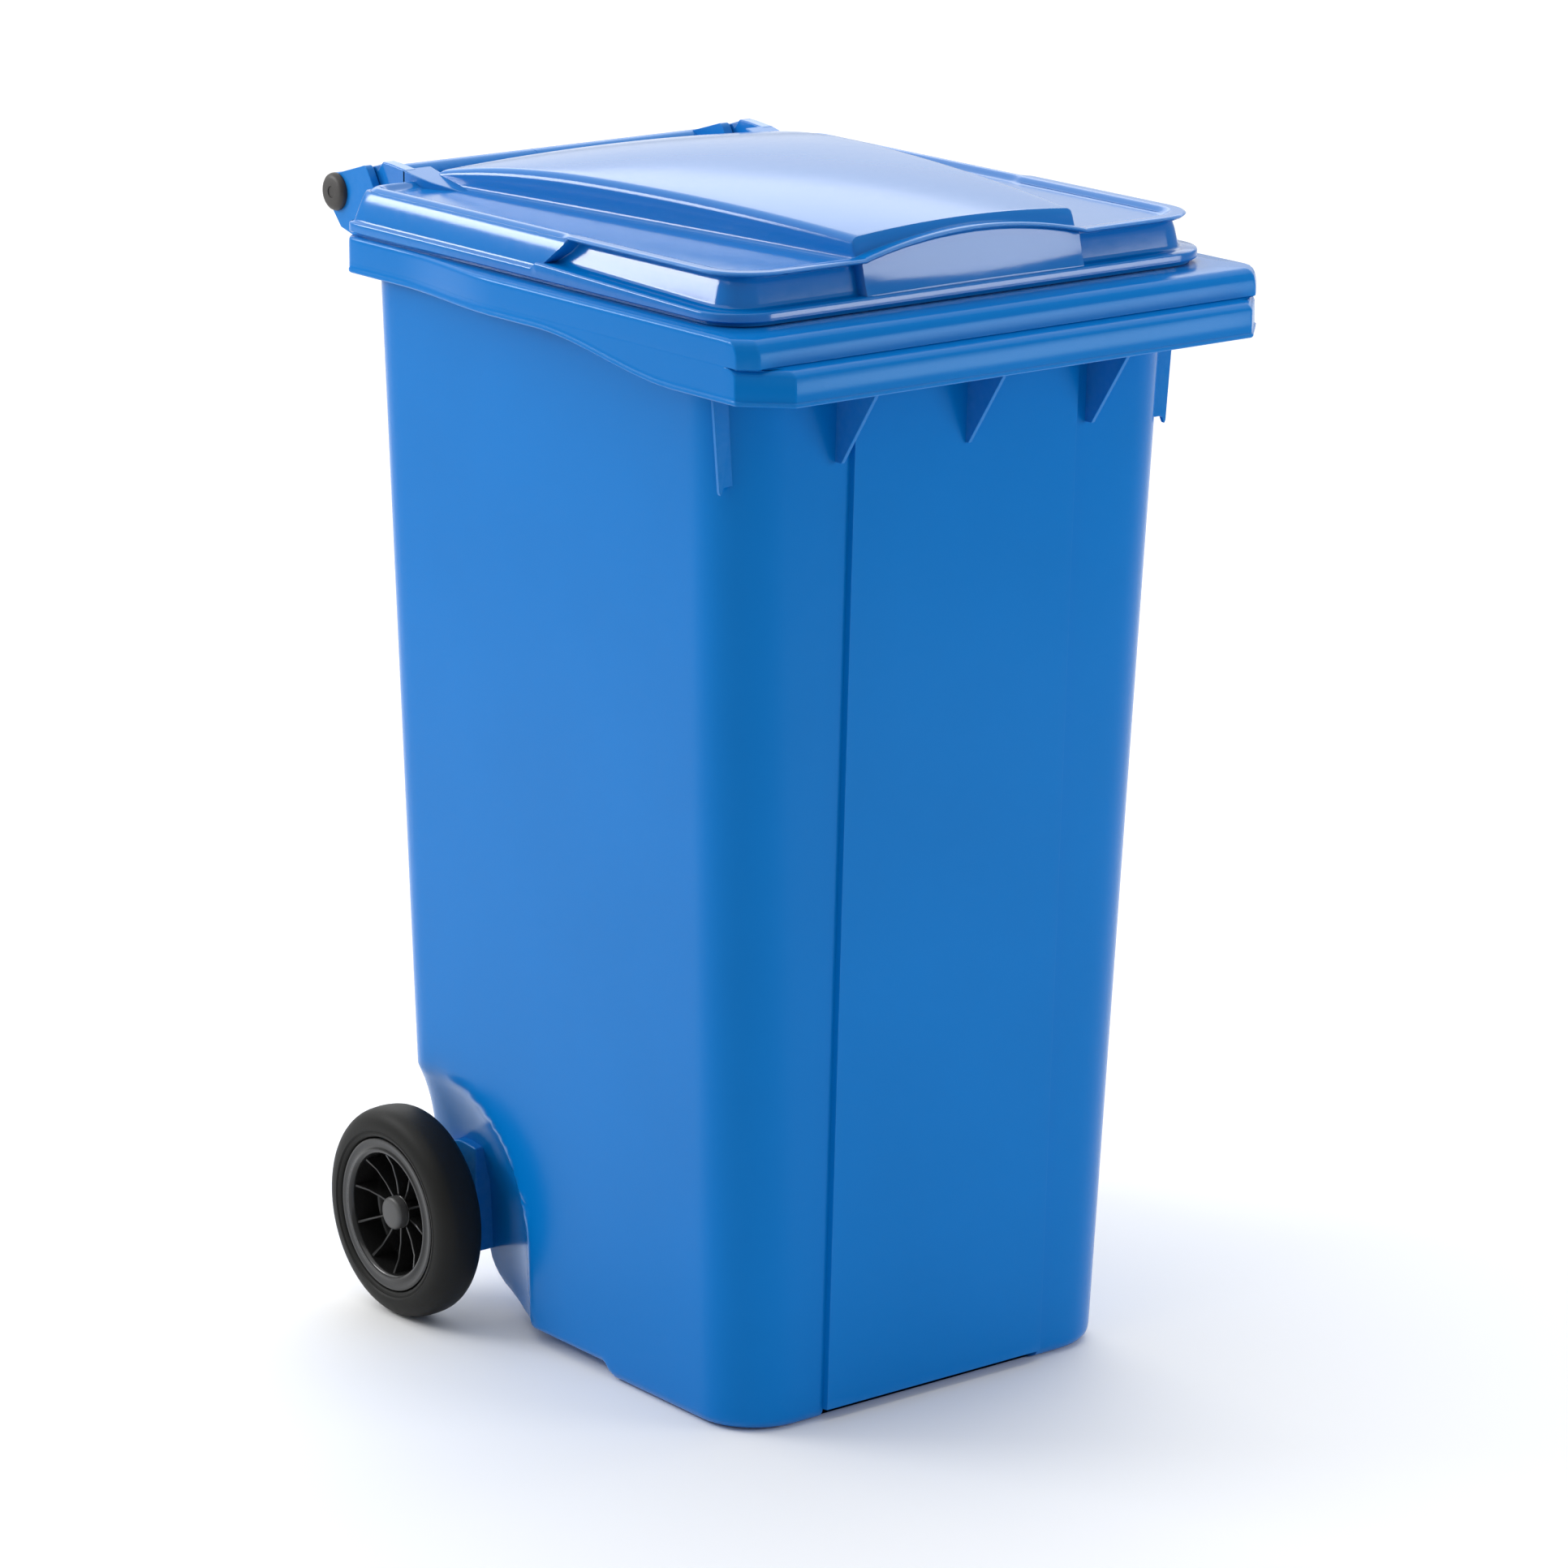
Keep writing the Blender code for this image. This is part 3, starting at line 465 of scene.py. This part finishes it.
bracket_view = [(0.165, 0.056), (0.202, 0.056)] + arc((0.202, 0.082), 0.026, -pi / 2, 0.0, 8)[1:] + [
    (0.228, 0.120)] + arc((0.186, 0.118), 0.042, 0.0, pi / 2, 10)[1:] + [(0.165, 0.158)]
for hand, side in (("left", -1), ("right", 1)):
    low, high = sorted(side * x for x in AXLE_BRACKET)
    container_part(plate(f"axle_bracket_{hand}", bracket_view, low, high, container_plastic,
                         0.0020), "axle_housing")

# ---------------------------------------------------------------------------------------
# Handle bar. A round bar of the same moulding between the two pairs of hinge webs, with
# a faint parting line round its middle where the mould's halves meet.
# ---------------------------------------------------------------------------------------


def turned(name, profile, steps, surface, closed, side=1, line=(HINGE_Y, HINGE_Z), sharp=38.0):
    """A piece turned about a line along X. The profile is (radius, distance outwards)."""
    shape = bmesh.new()
    rings = []
    for step in range(steps):
        angle = 2 * pi * step / steps
        rings.append([shape.verts.new((side * along, line[0] + radius * cos(angle),
                                       line[1] + radius * sin(angle)))
                      for radius, along in profile])
    count = len(profile)
    for step in range(steps):
        here, there = rings[step], rings[(step + 1) % steps]
        for index in range(count if closed else count - 1):
            after = (index + 1) % count
            shape.faces.new((here[index], here[after], there[after], there[index]))
    bmesh.ops.remove_doubles(shape, verts=shape.verts, dist=0.000005)
    bmesh.ops.recalc_face_normals(shape, faces=shape.faces)
    return piece_from(name, shape, surface, sharp)


bar_half = 0.190
parting = 0.0003
container_part(turned("grip_bar", [
    (0.0, bar_half), (HANDLE_RADIUS, bar_half), (HANDLE_RADIUS, parting),
    (HANDLE_RADIUS - parting, 0.0), (HANDLE_RADIUS, -parting), (HANDLE_RADIUS, -bar_half),
    (0.0, -bar_half)], 48, container_plastic, False), "handle_bar")

# ---------------------------------------------------------------------------------------
# Lid. A second blue moulding 3.5 mm thick. A low tier sits on the rim; over it stand the
# recessed hand-holds, the dished wings, the raised centre and the arched lip in front.
# ---------------------------------------------------------------------------------------
lid_plastic = moulded_plastic("lid_polyethylene", BIN_BLUE, EDGE_HIGHLIGHT_BLUE, 0.13, 0.03, 0.42)
LID_SEAT = RIM_TOP + 0.0003
LID_WALL = 0.0035
SHEET = 1.055                       # height of the wings' outer ridge
WING_FRONT = -0.2995
WING_CORNER = 0.050
WING_HALF = (0.263, 0.2606)         # beside the hand-holds and behind them
SHEET_REAR = 0.2530
SHEET_REAR_CORNER = 0.021
CREST = (-0.280, 0.252)             # the raised centre, from front to rear
CREST_HALF = (0.122, 0.186)
CREST_HEIGHT = 1.0865
NOSE_HALF = 0.122
GRIP_END = -0.059


def lid_part(made):
    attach(made, "lid")
    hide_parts("lid")


def tier_top(y):
    """The lower tier's top edge: it rises towards the rear end of each hand-hold."""
    return 1.0225 + 0.006 * min(1.0, max(0.0, (y + 0.250) / 0.220))


TIER_HALF = 0.272
TIER_FRONT = -0.303
TIER_REAR = 0.264
TIER_CORNER = 0.046


def tier_ring(front_z, front_in, rear_z, rear_in, end, rear_corner):
    """The lid's side: one height and inset at the hand-holds, another behind their end.

    A front height under 0.5 is measured from the tier's top edge.
    """
    turn = TIER_HALF - TIER_CORNER
    line = [(x, TIER_FRONT) for x in (0.0, 0.03, 0.06, 0.09, 0.120, 0.150, 0.180, 0.205)]
    line += arc((turn, TIER_FRONT + TIER_CORNER), TIER_CORNER, -pi / 2, 0.0, CORNER_POINTS)
    stops = [-0.24, -0.21, -0.18, -0.15, -0.12, -0.10, -0.085, -0.072, -0.062, -0.055, -0.050,
             -0.0475, -0.0462, -0.0450, -0.0437, -0.0425, -0.0412, -0.0400, -0.0385, -0.035, -0.030,
             -0.022, -0.012, 0.0, 0.02, 0.06, 0.10, 0.14, 0.18, 0.21, 0.235]
    drift = end + 0.040
    line += [(TIER_HALF, y + drift * eased((y + 0.150) / 0.060) * eased((0.100 - y) / 0.080))
             for y in stops]
    rear_turn = TIER_HALF - rear_corner
    line += arc((rear_turn, TIER_REAR - rear_corner), rear_corner, 0.0, pi / 2, 8)
    line += [(rear_turn * (1 - step / 6), TIER_REAR) for step in range(1, 7)]
    right = []
    for x, y in line:
        held = eased((end - y) / 0.007)
        inset = between(rear_in, front_in, held)
        ahead = front_z + (tier_top(y) if front_z < 0.5 else 0.0)
        across = min(1.0, max(0.0, (x - turn) / TIER_CORNER))
        along = min(1.0, max(0.0, (TIER_FRONT + TIER_CORNER - y) / TIER_CORNER))
        back = min(1.0, max(0.0, (y - TIER_REAR + rear_corner) / rear_corner))
        right.append((x - inset * across, y + inset * along - inset * back,
                      between(rear_z, ahead, held)))
    return right + [(-x, y, z) for x, y, z in reversed(right[1:-1])]


tier_rings = []
for front_z, front_in, rear_z, rear_in, end, rear_corner in (
        (LID_SEAT, 0.0090, LID_SEAT, 0.0090, -0.025, 0.012),
        (LID_SEAT, 0.0065, LID_SEAT, 0.0065, -0.025, 0.012),
        (LID_SEAT + 0.0036, 0.0060, LID_SEAT + 0.0036, 0.0060, -0.025, 0.012),
        (LID_SEAT + 0.0038, 0.0010, LID_SEAT + 0.0038, 0.0010, -0.025, 0.012),
        (LID_SEAT + 0.0048, 0.0, LID_SEAT + 0.0048, 0.0, -0.025, 0.012),
        (-0.0020, 0.0, 1.0215, 0.0, -0.021, 0.012),
        (-0.0008, 0.0005, 1.0228, 0.0004, -0.021, 0.012),
        (-0.0001, 0.0016, 1.0235, 0.0014, -0.021, 0.012),
        (0.0001, 0.0120, 1.0238, 0.0028, -0.025, 0.013),
        (0.0004, 0.0150, 1.0244, 0.0034, -0.029, 0.014),
        (0.0014, 0.0164, 1.0260, 0.0038, -0.033, 0.015),
        (0.0040, 0.0172, 1.0300, 0.0046, -0.037, 0.016),
        (1.0400, 0.0205, 1.0400, 0.0070, -0.049, 0.019),
        (1.0485, 0.0235, 1.0465, 0.0088, -0.057, 0.021),
        (1.0508, 0.0250, 1.0500, 0.0102, -0.059, 0.022),
        (1.0512, 0.0262, 1.0514, 0.0112, -0.060, 0.022),
        (1.0512, 0.0300, 1.0500, 0.0150, -0.060, 0.022),
        (1.0400, 0.0250, 1.0400, 0.0110, -0.049, 0.019),
        (1.0260, 0.0220, 1.0250, 0.0080, -0.030, 0.014)):
    tier_rings.append(tier_ring(front_z, front_in, rear_z, rear_in, end, rear_corner))
lid_tier = skin_over("lid_tier", tier_rings + tier_rings[:1], lid_plastic, False, False)
tier_shape = bmesh.new()
tier_shape.from_mesh(lid_tier.data)
bmesh.ops.remove_doubles(tier_shape, verts=tier_shape.verts, dist=0.00001)
bmesh.ops.recalc_face_normals(tier_shape, faces=tier_shape.faces)
tier_shape.to_mesh(lid_tier.data)
tier_shape.free()
lid_part(lid_tier)


def behind_grip(y):
    """0 beside the hand-hold and 1 behind its end."""
    return eased((y - GRIP_END + 0.004) / 0.012)


def wing_half(y):
    """Half the width of the lid's top sheet: straight sides and round corners."""
    near = WING_CORNER - (y - WING_FRONT)
    if near > 0:
        return WING_HALF[0] - WING_CORNER + sqrt(max(0.0, WING_CORNER ** 2 - near * near))
    full = between(*WING_HALF, behind_grip(y))
    late = y - (SHEET_REAR - SHEET_REAR_CORNER)
    if late > 0:
        return full - SHEET_REAR_CORNER + sqrt(max(0.0, SHEET_REAR_CORNER ** 2 - late * late))
    return full


def edge_distance(x, y):
    """How far a place on the top sheet is from the sheet's edge."""
    near = WING_CORNER - (y - WING_FRONT)
    late = SHEET_REAR_CORNER - (SHEET_REAR - y)
    side = between(*WING_HALF, behind_grip(y)) - abs(x)
    if near > 0 and side < WING_CORNER:
        return WING_CORNER - hypot(WING_CORNER - side, near)
    if late > 0 and side < SHEET_REAR_CORNER:
        return SHEET_REAR_CORNER - hypot(SHEET_REAR_CORNER - side, late)
    return min(side, y - WING_FRONT, SHEET_REAR - y)


def wing_height(x, y):
    """The wings: a rounded edge, a flat border inside it, then a shallow dish."""
    away = max(0.0, edge_distance(x, y))
    rear = behind_grip(y)
    soft = between(0.0030, 0.0065, rear)
    drop = between(0.0016, 0.0036, rear) * max(0.0, 1.0 - away / soft) ** 2
    border = between(0.0130, 0.0085, rear)
    dish = 0.0048 * eased((away - border) / 0.010)
    return SHEET - drop - dish


def lip_height(x, y):
    """The front lip arches up in the middle, over the fingers that lift the lid."""
    share = min(1.0, abs(x) / NOSE_HALF)
    rise = 0.016 * cos(pi / 2 * share) ** 0.85 if share < 1 else 0.0
    fade = eased((-0.262 - y) / 0.010)
    return rise * fade


def crest_half(y):
    return between(*CREST_HALF, (y - CREST[0]) / (CREST[1] - CREST[0]))


def crest_top(x, y):
    """The raised centre: crowned both ways, highest a little behind the middle."""
    fall = 0.0105 * (y / CREST[0]) ** 2 if y < 0 else 0.0265 * (y / 0.28) ** 2.6
    return CREST_HEIGHT - fall - 0.006 * (x / crest_half(y)) ** 2


def lid_height(x, y, rise):
    base = wing_height(x, y) + lip_height(x, y)
    front = eased((y - CREST[0] + 0.0035) / 0.0065)
    back = eased((CREST[1] + 0.001 - y) / 0.016)
    top = between(base, crest_top(x, y), front * back)
    return between(base, top, rise)


front_rows = [0.0, 0.0006, 0.0016, 0.0032, 0.0055, 0.0085, 0.0120, 0.0155, 0.0172, 0.0184, 0.0196,
              0.0208, 0.0222, 0.0240, 0.0265, 0.0300, 0.0350, 0.0420, 0.0500]
lid_rows = [WING_FRONT + step for step in front_rows]
lid_rows += [-0.2350 + 0.0150 * step for step in range(11)]
lid_rows += [-0.0730, -0.0670, -0.0630, -0.0590, -0.0550, -0.0510, -0.0450]
lid_rows += [-0.0350 + 0.0150 * step for step in range(18)]
lid_rows += [0.2300, 0.2340, 0.2380, 0.2410, 0.2440, 0.2465, 0.2485, 0.2505, 0.2520, 0.2528]
crest_columns = [step / 12 for step in range(13)]
flank = [(-0.0060, 0.996), (-0.0044, 0.978), (-0.0028, 0.945), (-0.0014, 0.89), (-0.0004, 0.81),
         (0.0002, 0.70), (0.0006, 0.50), (0.0009, 0.30), (0.0013, 0.15), (0.0020, 0.06),
         (0.0034, 0.015), (0.0060, 0.0)]


def lid_row(y):
    half, outer = crest_half(y), wing_half(y)
    points = [((half - 0.0085) * share, 1.0) for share in crest_columns]
    points += [(half + out, rise) for out, rise in flank]
    start = half + 0.0065
    border = outer - 0.026
    points += [(between(start, border, share), 0.0) for share in (0.15, 0.35, 0.6, 0.82, 1.0)]
    points += [(outer - out, 0.0) for out in (
        0.023, 0.0205, 0.018, 0.0155, 0.013, 0.0105, 0.0085, 0.0065, 0.0045, 0.003, 0.0015, 0.0005,
        0.0)]
    right = [(x, y, lid_height(x, y, rise)) for x, rise in points]
    return [(-x, y, z) for x, y, z in reversed(right[1:])] + right


shape = bmesh.new()
grid = [[shape.verts.new(point) for point in lid_row(y)] for y in lid_rows]
for here, there in zip(grid, grid[1:]):
    for index in range(len(here) - 1):
        shape.faces.new((here[index], here[index + 1], there[index + 1], there[index]))
bmesh.ops.recalc_face_normals(shape, faces=shape.faces)
if shape.faces[len(shape.faces) // 2].normal.z < 0:
    bmesh.ops.reverse_faces(shape, faces=shape.faces)
lid_top = piece_from("lid_top", shape, lid_plastic)
thickness = lid_top.modifiers.new("sheet", "SOLIDIFY")
thickness.thickness = LID_WALL
thickness.offset = -1.0
lid_part(lid_top)

# ---------------------------------------------------------------------------------------
# Nose of the lid. Part of the same moulding: the bowed front wall under the arched lip,
# closed at both ends by short side walls that run back to the hand-holds.
# ---------------------------------------------------------------------------------------
NOSE_STEPS = 24
NOSE_BOWED = 0.988                  # share of its width that bows; the rest turns the corner
NOSE_WALL = 0.0030
nose_rows = []
for share in (0.0, 0.06, 0.35, 0.7, 0.92, 1.0):
    row = []
    for step in range(-NOSE_STEPS, NOSE_STEPS + 1):
        x = NOSE_HALF * step / NOSE_STEPS * NOSE_BOWED
        top = SHEET - 0.0030 + lip_height(x, WING_FRONT) - 0.0008
        bow = 0.0020 * (1 - (x / NOSE_HALF) ** 2)
        foot = 0.0022 * (1 - share) ** 6
        row.append((x, -0.2958 - 0.5 * bow - foot + 0.0065 * share, between(1.0215, top, share)))
    end_y, end_z = row[-1][1:]
    for out, back in ((0.0004 / 7, 0.0030), (0.0010, 0.0072), (0.0010, 0.0170), (0.0010, 0.0310)):
        row.append((NOSE_HALF + out, end_y + back, end_z))
        row.insert(0, (-NOSE_HALF - out, end_y + back, end_z))
    nose_rows.append(row)
shape = bmesh.new()
grid = [[shape.verts.new(point) for point in row] for row in nose_rows]
for here, there in zip(grid, grid[1:]):
    for index in range(len(here) - 1):
        shape.faces.new((here[index], here[index + 1], there[index + 1], there[index]))
bmesh.ops.recalc_face_normals(shape, faces=shape.faces)
if shape.faces[len(shape.faces) // 2].normal.y > 0:
    bmesh.ops.reverse_faces(shape, faces=shape.faces)
nose_wall = piece_from("nose_wall", shape, lid_plastic)
thickness = nose_wall.modifiers.new("wall", "SOLIDIFY")
thickness.thickness = NOSE_WALL
thickness.offset = -1.0
lid_part(nose_wall)

# ---------------------------------------------------------------------------------------
# Lid arms. Two flat arms of the lid's moulding reach back over the gap to the pins. A
# notch in the top edge clears the handle webs when the lid is thrown open, and a wedge
# at the root of each arm runs forward into the lid's top.
# ---------------------------------------------------------------------------------------
LID_ARM = (0.1975, 0.2105)
ROOT_FOOT = 1.0480
ROOT_DEPTH = 0.0155
ROOT_SLOPE = (1.0500, 1.0640)       # height of the wedge's top at its front and at its rear
ROOT_FRONT = 0.195
ROOT_LENGTH = 0.065
arm_view = round_the_hinge(-120, 90, 26) + [
    (0.303, 1.0615), (0.299, 1.0580), (0.292, 1.0665), (0.280, 1.0660), (0.2555, 1.0635),
    (0.2555, 1.0480), (0.260, 1.0300), (0.330, 1.0155)]
for hand, side in (("left", -1), ("right", 1)):
    low, high = sorted(side * x for x in LID_ARM)
    lid_part(plate(f"lid_arm_{hand}", arm_view, low, high, lid_plastic, 0.0015))
    root_view = [(LID_ARM[1], 0.2600), (LID_ARM[1], 0.2480), (0.2050, 0.2250),
                 (0.1900, ROOT_FRONT), (0.1800, ROOT_FRONT), (0.1800, 0.2600)]
    root = slab(f"lid_arm_root_{hand}", [(side * x, y, ROOT_FOOT) for x, y in root_view],
                (0.0, 0.0, ROOT_DEPTH), lid_plastic, 0.0025)
    for vertex in root.data.vertices:
        if vertex.co.z > ROOT_FOOT + ROOT_DEPTH / 2:
            vertex.co.z = between(*ROOT_SLOPE, (vertex.co.y - ROOT_FRONT) / ROOT_LENGTH)
    lid_part(root)

# ---------------------------------------------------------------------------------------
# Hinge pins. A dull dark plastic pin on each side, pushed in from outside through web,
# lid arm and web into the end of the handle bar; only its round head shows.
# ---------------------------------------------------------------------------------------
pin_plastic = moulded_plastic("hinge_pin_plastic", (0.022, 0.019, 0.017), (0.12, 0.11, 0.10),
                              0.48, 0.20)
pin_head = 0.2203
for hand, side in (("left", -1), ("right", 1)):
    pin = turned(f"pin_{hand}", [
        (0.0, pin_head + 0.0052), (0.0050, pin_head + 0.0052), (0.0054, pin_head + 0.0060),
        (0.0125, pin_head + 0.0060), (0.0150, pin_head + 0.0052), (0.0168, pin_head + 0.0036),
        (0.0175, pin_head + 0.0016), (0.0175, pin_head), (0.0080, pin_head),
        (0.0080, 0.1740), (0.0060, 0.1720), (0.0, 0.1720)], 48, pin_plastic, False, side)
    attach(pin, "bin")
    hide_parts(f"hinge_pin_{hand}")

# ---------------------------------------------------------------------------------------
# Axle, sleeves and washers. A plain zinc-plated bar runs through both brackets; a black
# sleeve keeps each wheel off its bracket and a push-on washer holds it on the bar's end.
# ---------------------------------------------------------------------------------------


def plated_steel(name, colour, gloss):
    """Zinc-plated bar: drawn lines along it and cloudy plating."""
    made = bpy.data.materials.new(name)
    made.use_nodes = True
    nodes, links = made.node_tree.nodes, made.node_tree.links
    shader = nodes["Principled BSDF"]
    shader.inputs["Metallic"].default_value = 1.0
    place = nodes.new("ShaderNodeTexCoord")
    drawn = nodes.new("ShaderNodeMapping")
    drawn.inputs["Scale"].default_value = (6.0, 900.0, 900.0)
    lines = nodes.new("ShaderNodeTexNoise")
    lines.inputs["Scale"].default_value = 1.0
    clouds = nodes.new("ShaderNodeTexNoise")
    clouds.inputs["Scale"].default_value = 60.0
    links.new(place.outputs["Object"], drawn.inputs["Vector"])
    links.new(drawn.outputs["Vector"], lines.inputs["Vector"])
    links.new(place.outputs["Object"], clouds.inputs["Vector"])
    tone = nodes.new("ShaderNodeMix")
    tone.data_type = "RGBA"
    tone.inputs["A"].default_value = (*[part * 0.8 for part in colour], 1.0)
    tone.inputs["B"].default_value = (*colour, 1.0)
    links.new(clouds.outputs["Fac"], tone.inputs["Factor"])
    links.new(tone.outputs["Result"], shader.inputs["Base Color"])
    rough = nodes.new("ShaderNodeMapRange")
    rough.inputs["To Min"].default_value = gloss - 0.08
    rough.inputs["To Max"].default_value = gloss + 0.12
    links.new(lines.outputs["Fac"], rough.inputs["Value"])
    links.new(rough.outputs["Result"], shader.inputs["Roughness"])
    marks = nodes.new("ShaderNodeBump")
    marks.inputs["Strength"].default_value = 0.15
    marks.inputs["Distance"].default_value = 0.0002
    links.new(lines.outputs["Fac"], marks.inputs["Height"])
    links.new(marks.outputs["Normal"], shader.inputs["Normal"])
    return made


zinc = plated_steel("zinc_plating", (0.56, 0.57, 0.60), 0.34)
hub_plastic = moulded_plastic("hub_polypropylene", (0.009, 0.009, 0.009), (0.06, 0.06, 0.06),
                              0.22, 0.08)
for node, surface in (("axle", zinc), ("push_on_washer_left", zinc), ("push_on_washer_right", zinc),
                      ("spacer_sleeve_left", hub_plastic), ("spacer_sleeve_right", hub_plastic)):
    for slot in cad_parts[node].material_slots:
        slot.material = surface

# ---------------------------------------------------------------------------------------
# Wheels. A black moulded hub with a flanged rim, a thin web and ten spoke ribs; a solid
# charcoal rubber tyre pressed over it; and a grey cap clipped over the boss.
# ---------------------------------------------------------------------------------------
WHEEL_MIDDLE = 0.261
AXLE_LINE = (AXLE_Y, AXLE_Z)
SPOKES = 10
SPOKE_TURN = 0.35                   # how far round the first spoke stands, in steps
rubber = moulded_plastic("solid_rubber", (0.011, 0.011, 0.010), (0.04, 0.04, 0.037), 0.50, 0.30, 0.16)
cap_plastic = moulded_plastic("cap_polypropylene", (0.055, 0.055, 0.055), (0.15, 0.15, 0.15),
                              0.42, 0.15)


def wheel_profile(profile):
    return [(radius, WHEEL_MIDDLE + along) for radius, along in profile]


def tyre_section():
    """Half the tyre's section, from the bead out to the tread, then mirrored inwards."""
    half = [(0.0733, 0.0200), (0.0740, 0.0222), (0.0752, 0.0232), (0.0768, 0.0236),
            (0.0778, 0.0230), (0.0786, 0.0230), (0.0800, 0.0243)]
    half += [(0.0800 + 0.0196 * sin(pi / 2 * step / 10),
              0.0045 + 0.0198 * cos(pi / 2 * step / 10) ** 0.8) for step in range(1, 10)]
    half += [(0.0998, 0.0046), (0.1000, 0.0015)]
    return half + [(radius, -along) for radius, along in reversed(half)]


for hand, side in (("left", -1), ("right", 1)):
    tyre = turned(f"solid_tyre_{hand}", wheel_profile(tyre_section()), 96, rubber, True, side,
                  AXLE_LINE)
    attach(tyre, f"wheel_{hand}")
    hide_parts(f"tyre_{hand}")
    hub = turned(f"hub_rim_{hand}", wheel_profile([
        (0.0103, 0.0080), (0.0145, 0.0080), (0.0155, 0.0070), (0.0160, -0.0070), (0.0175, -0.0080),
        (0.0530, -0.0080), (0.0556, -0.0062), (0.0565, -0.0030), (0.0572, 0.0180),
        (0.0578, 0.0206), (0.0592, 0.0224), (0.0606, 0.0230), (0.0620, 0.0230), (0.0632, 0.0222),
        (0.0660, 0.0218), (0.0690, 0.0222), (0.0706, 0.0226), (0.0720, 0.0220), (0.0727, 0.0205),
        (0.0727, -0.0205), (0.0720, -0.0215), (0.0650, -0.0215), (0.0600, -0.0200),
        (0.0585, -0.0130), (0.0570, -0.0115), (0.0180, -0.0115), (0.0160, -0.0130),
        (0.0155, -0.0240), (0.0103, -0.0240)]), 96, hub_plastic, True, side, AXLE_LINE)
    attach(hub, f"wheel_{hand}")
    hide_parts(f"wheel_hub_{hand}")
    for number in range(SPOKES):
        angle = 2 * pi * (number + SPOKE_TURN) / SPOKES
        shape = bmesh.new()
        ends = []
        for radius, low, high, width in ((0.0145, -0.0090, 0.0070, 0.0022),
                                         (0.0300, -0.0090, 0.0085, 0.0016),
                                         (0.0450, -0.0090, 0.0120, 0.0016),
                                         (0.0572, -0.0090, 0.0185, 0.0024)):
            ends.append([shape.verts.new((
                side * (WHEEL_MIDDLE + along),
                AXLE_Y + radius * cos(angle) - across * sin(angle),
                AXLE_Z + radius * sin(angle) + across * cos(angle)))
                for along, across in ((low, -width), (low, width), (high, width * 0.6),
                                      (high, -width * 0.6))])
        for inner, outer in zip(ends, ends[1:]):
            for index in range(4):
                after = (index + 1) % 4
                shape.faces.new((inner[index], inner[after], outer[after], outer[index]))
        shape.faces.new(ends[0])
        shape.faces.new(ends[-1])
        bmesh.ops.recalc_face_normals(shape, faces=shape.faces)
        spoke = piece_from(f"spoke_{hand}_{number + 1}", shape, hub_plastic, 25.0)
        softened = spoke.modifiers.new("rounded_edges", "BEVEL")
        softened.width = 0.0005
        softened.segments = 2
        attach(spoke, f"wheel_{hand}")
        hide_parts(f"wheel_hub_{hand}")
    cap = turned(f"boss_cap_{hand}", wheel_profile([
        (0.0, 0.0180), (0.0100, 0.0178), (0.0130, 0.0174), (0.0147, 0.0164), (0.0155, 0.0148),
        (0.0155, 0.0083), (0.0145, 0.0083), (0.0145, 0.0150), (0.0, 0.0158)]), 64, cap_plastic,
        False, side, AXLE_LINE)
    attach(cap, f"wheel_{hand}")
    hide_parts(f"hub_cap_{hand}")
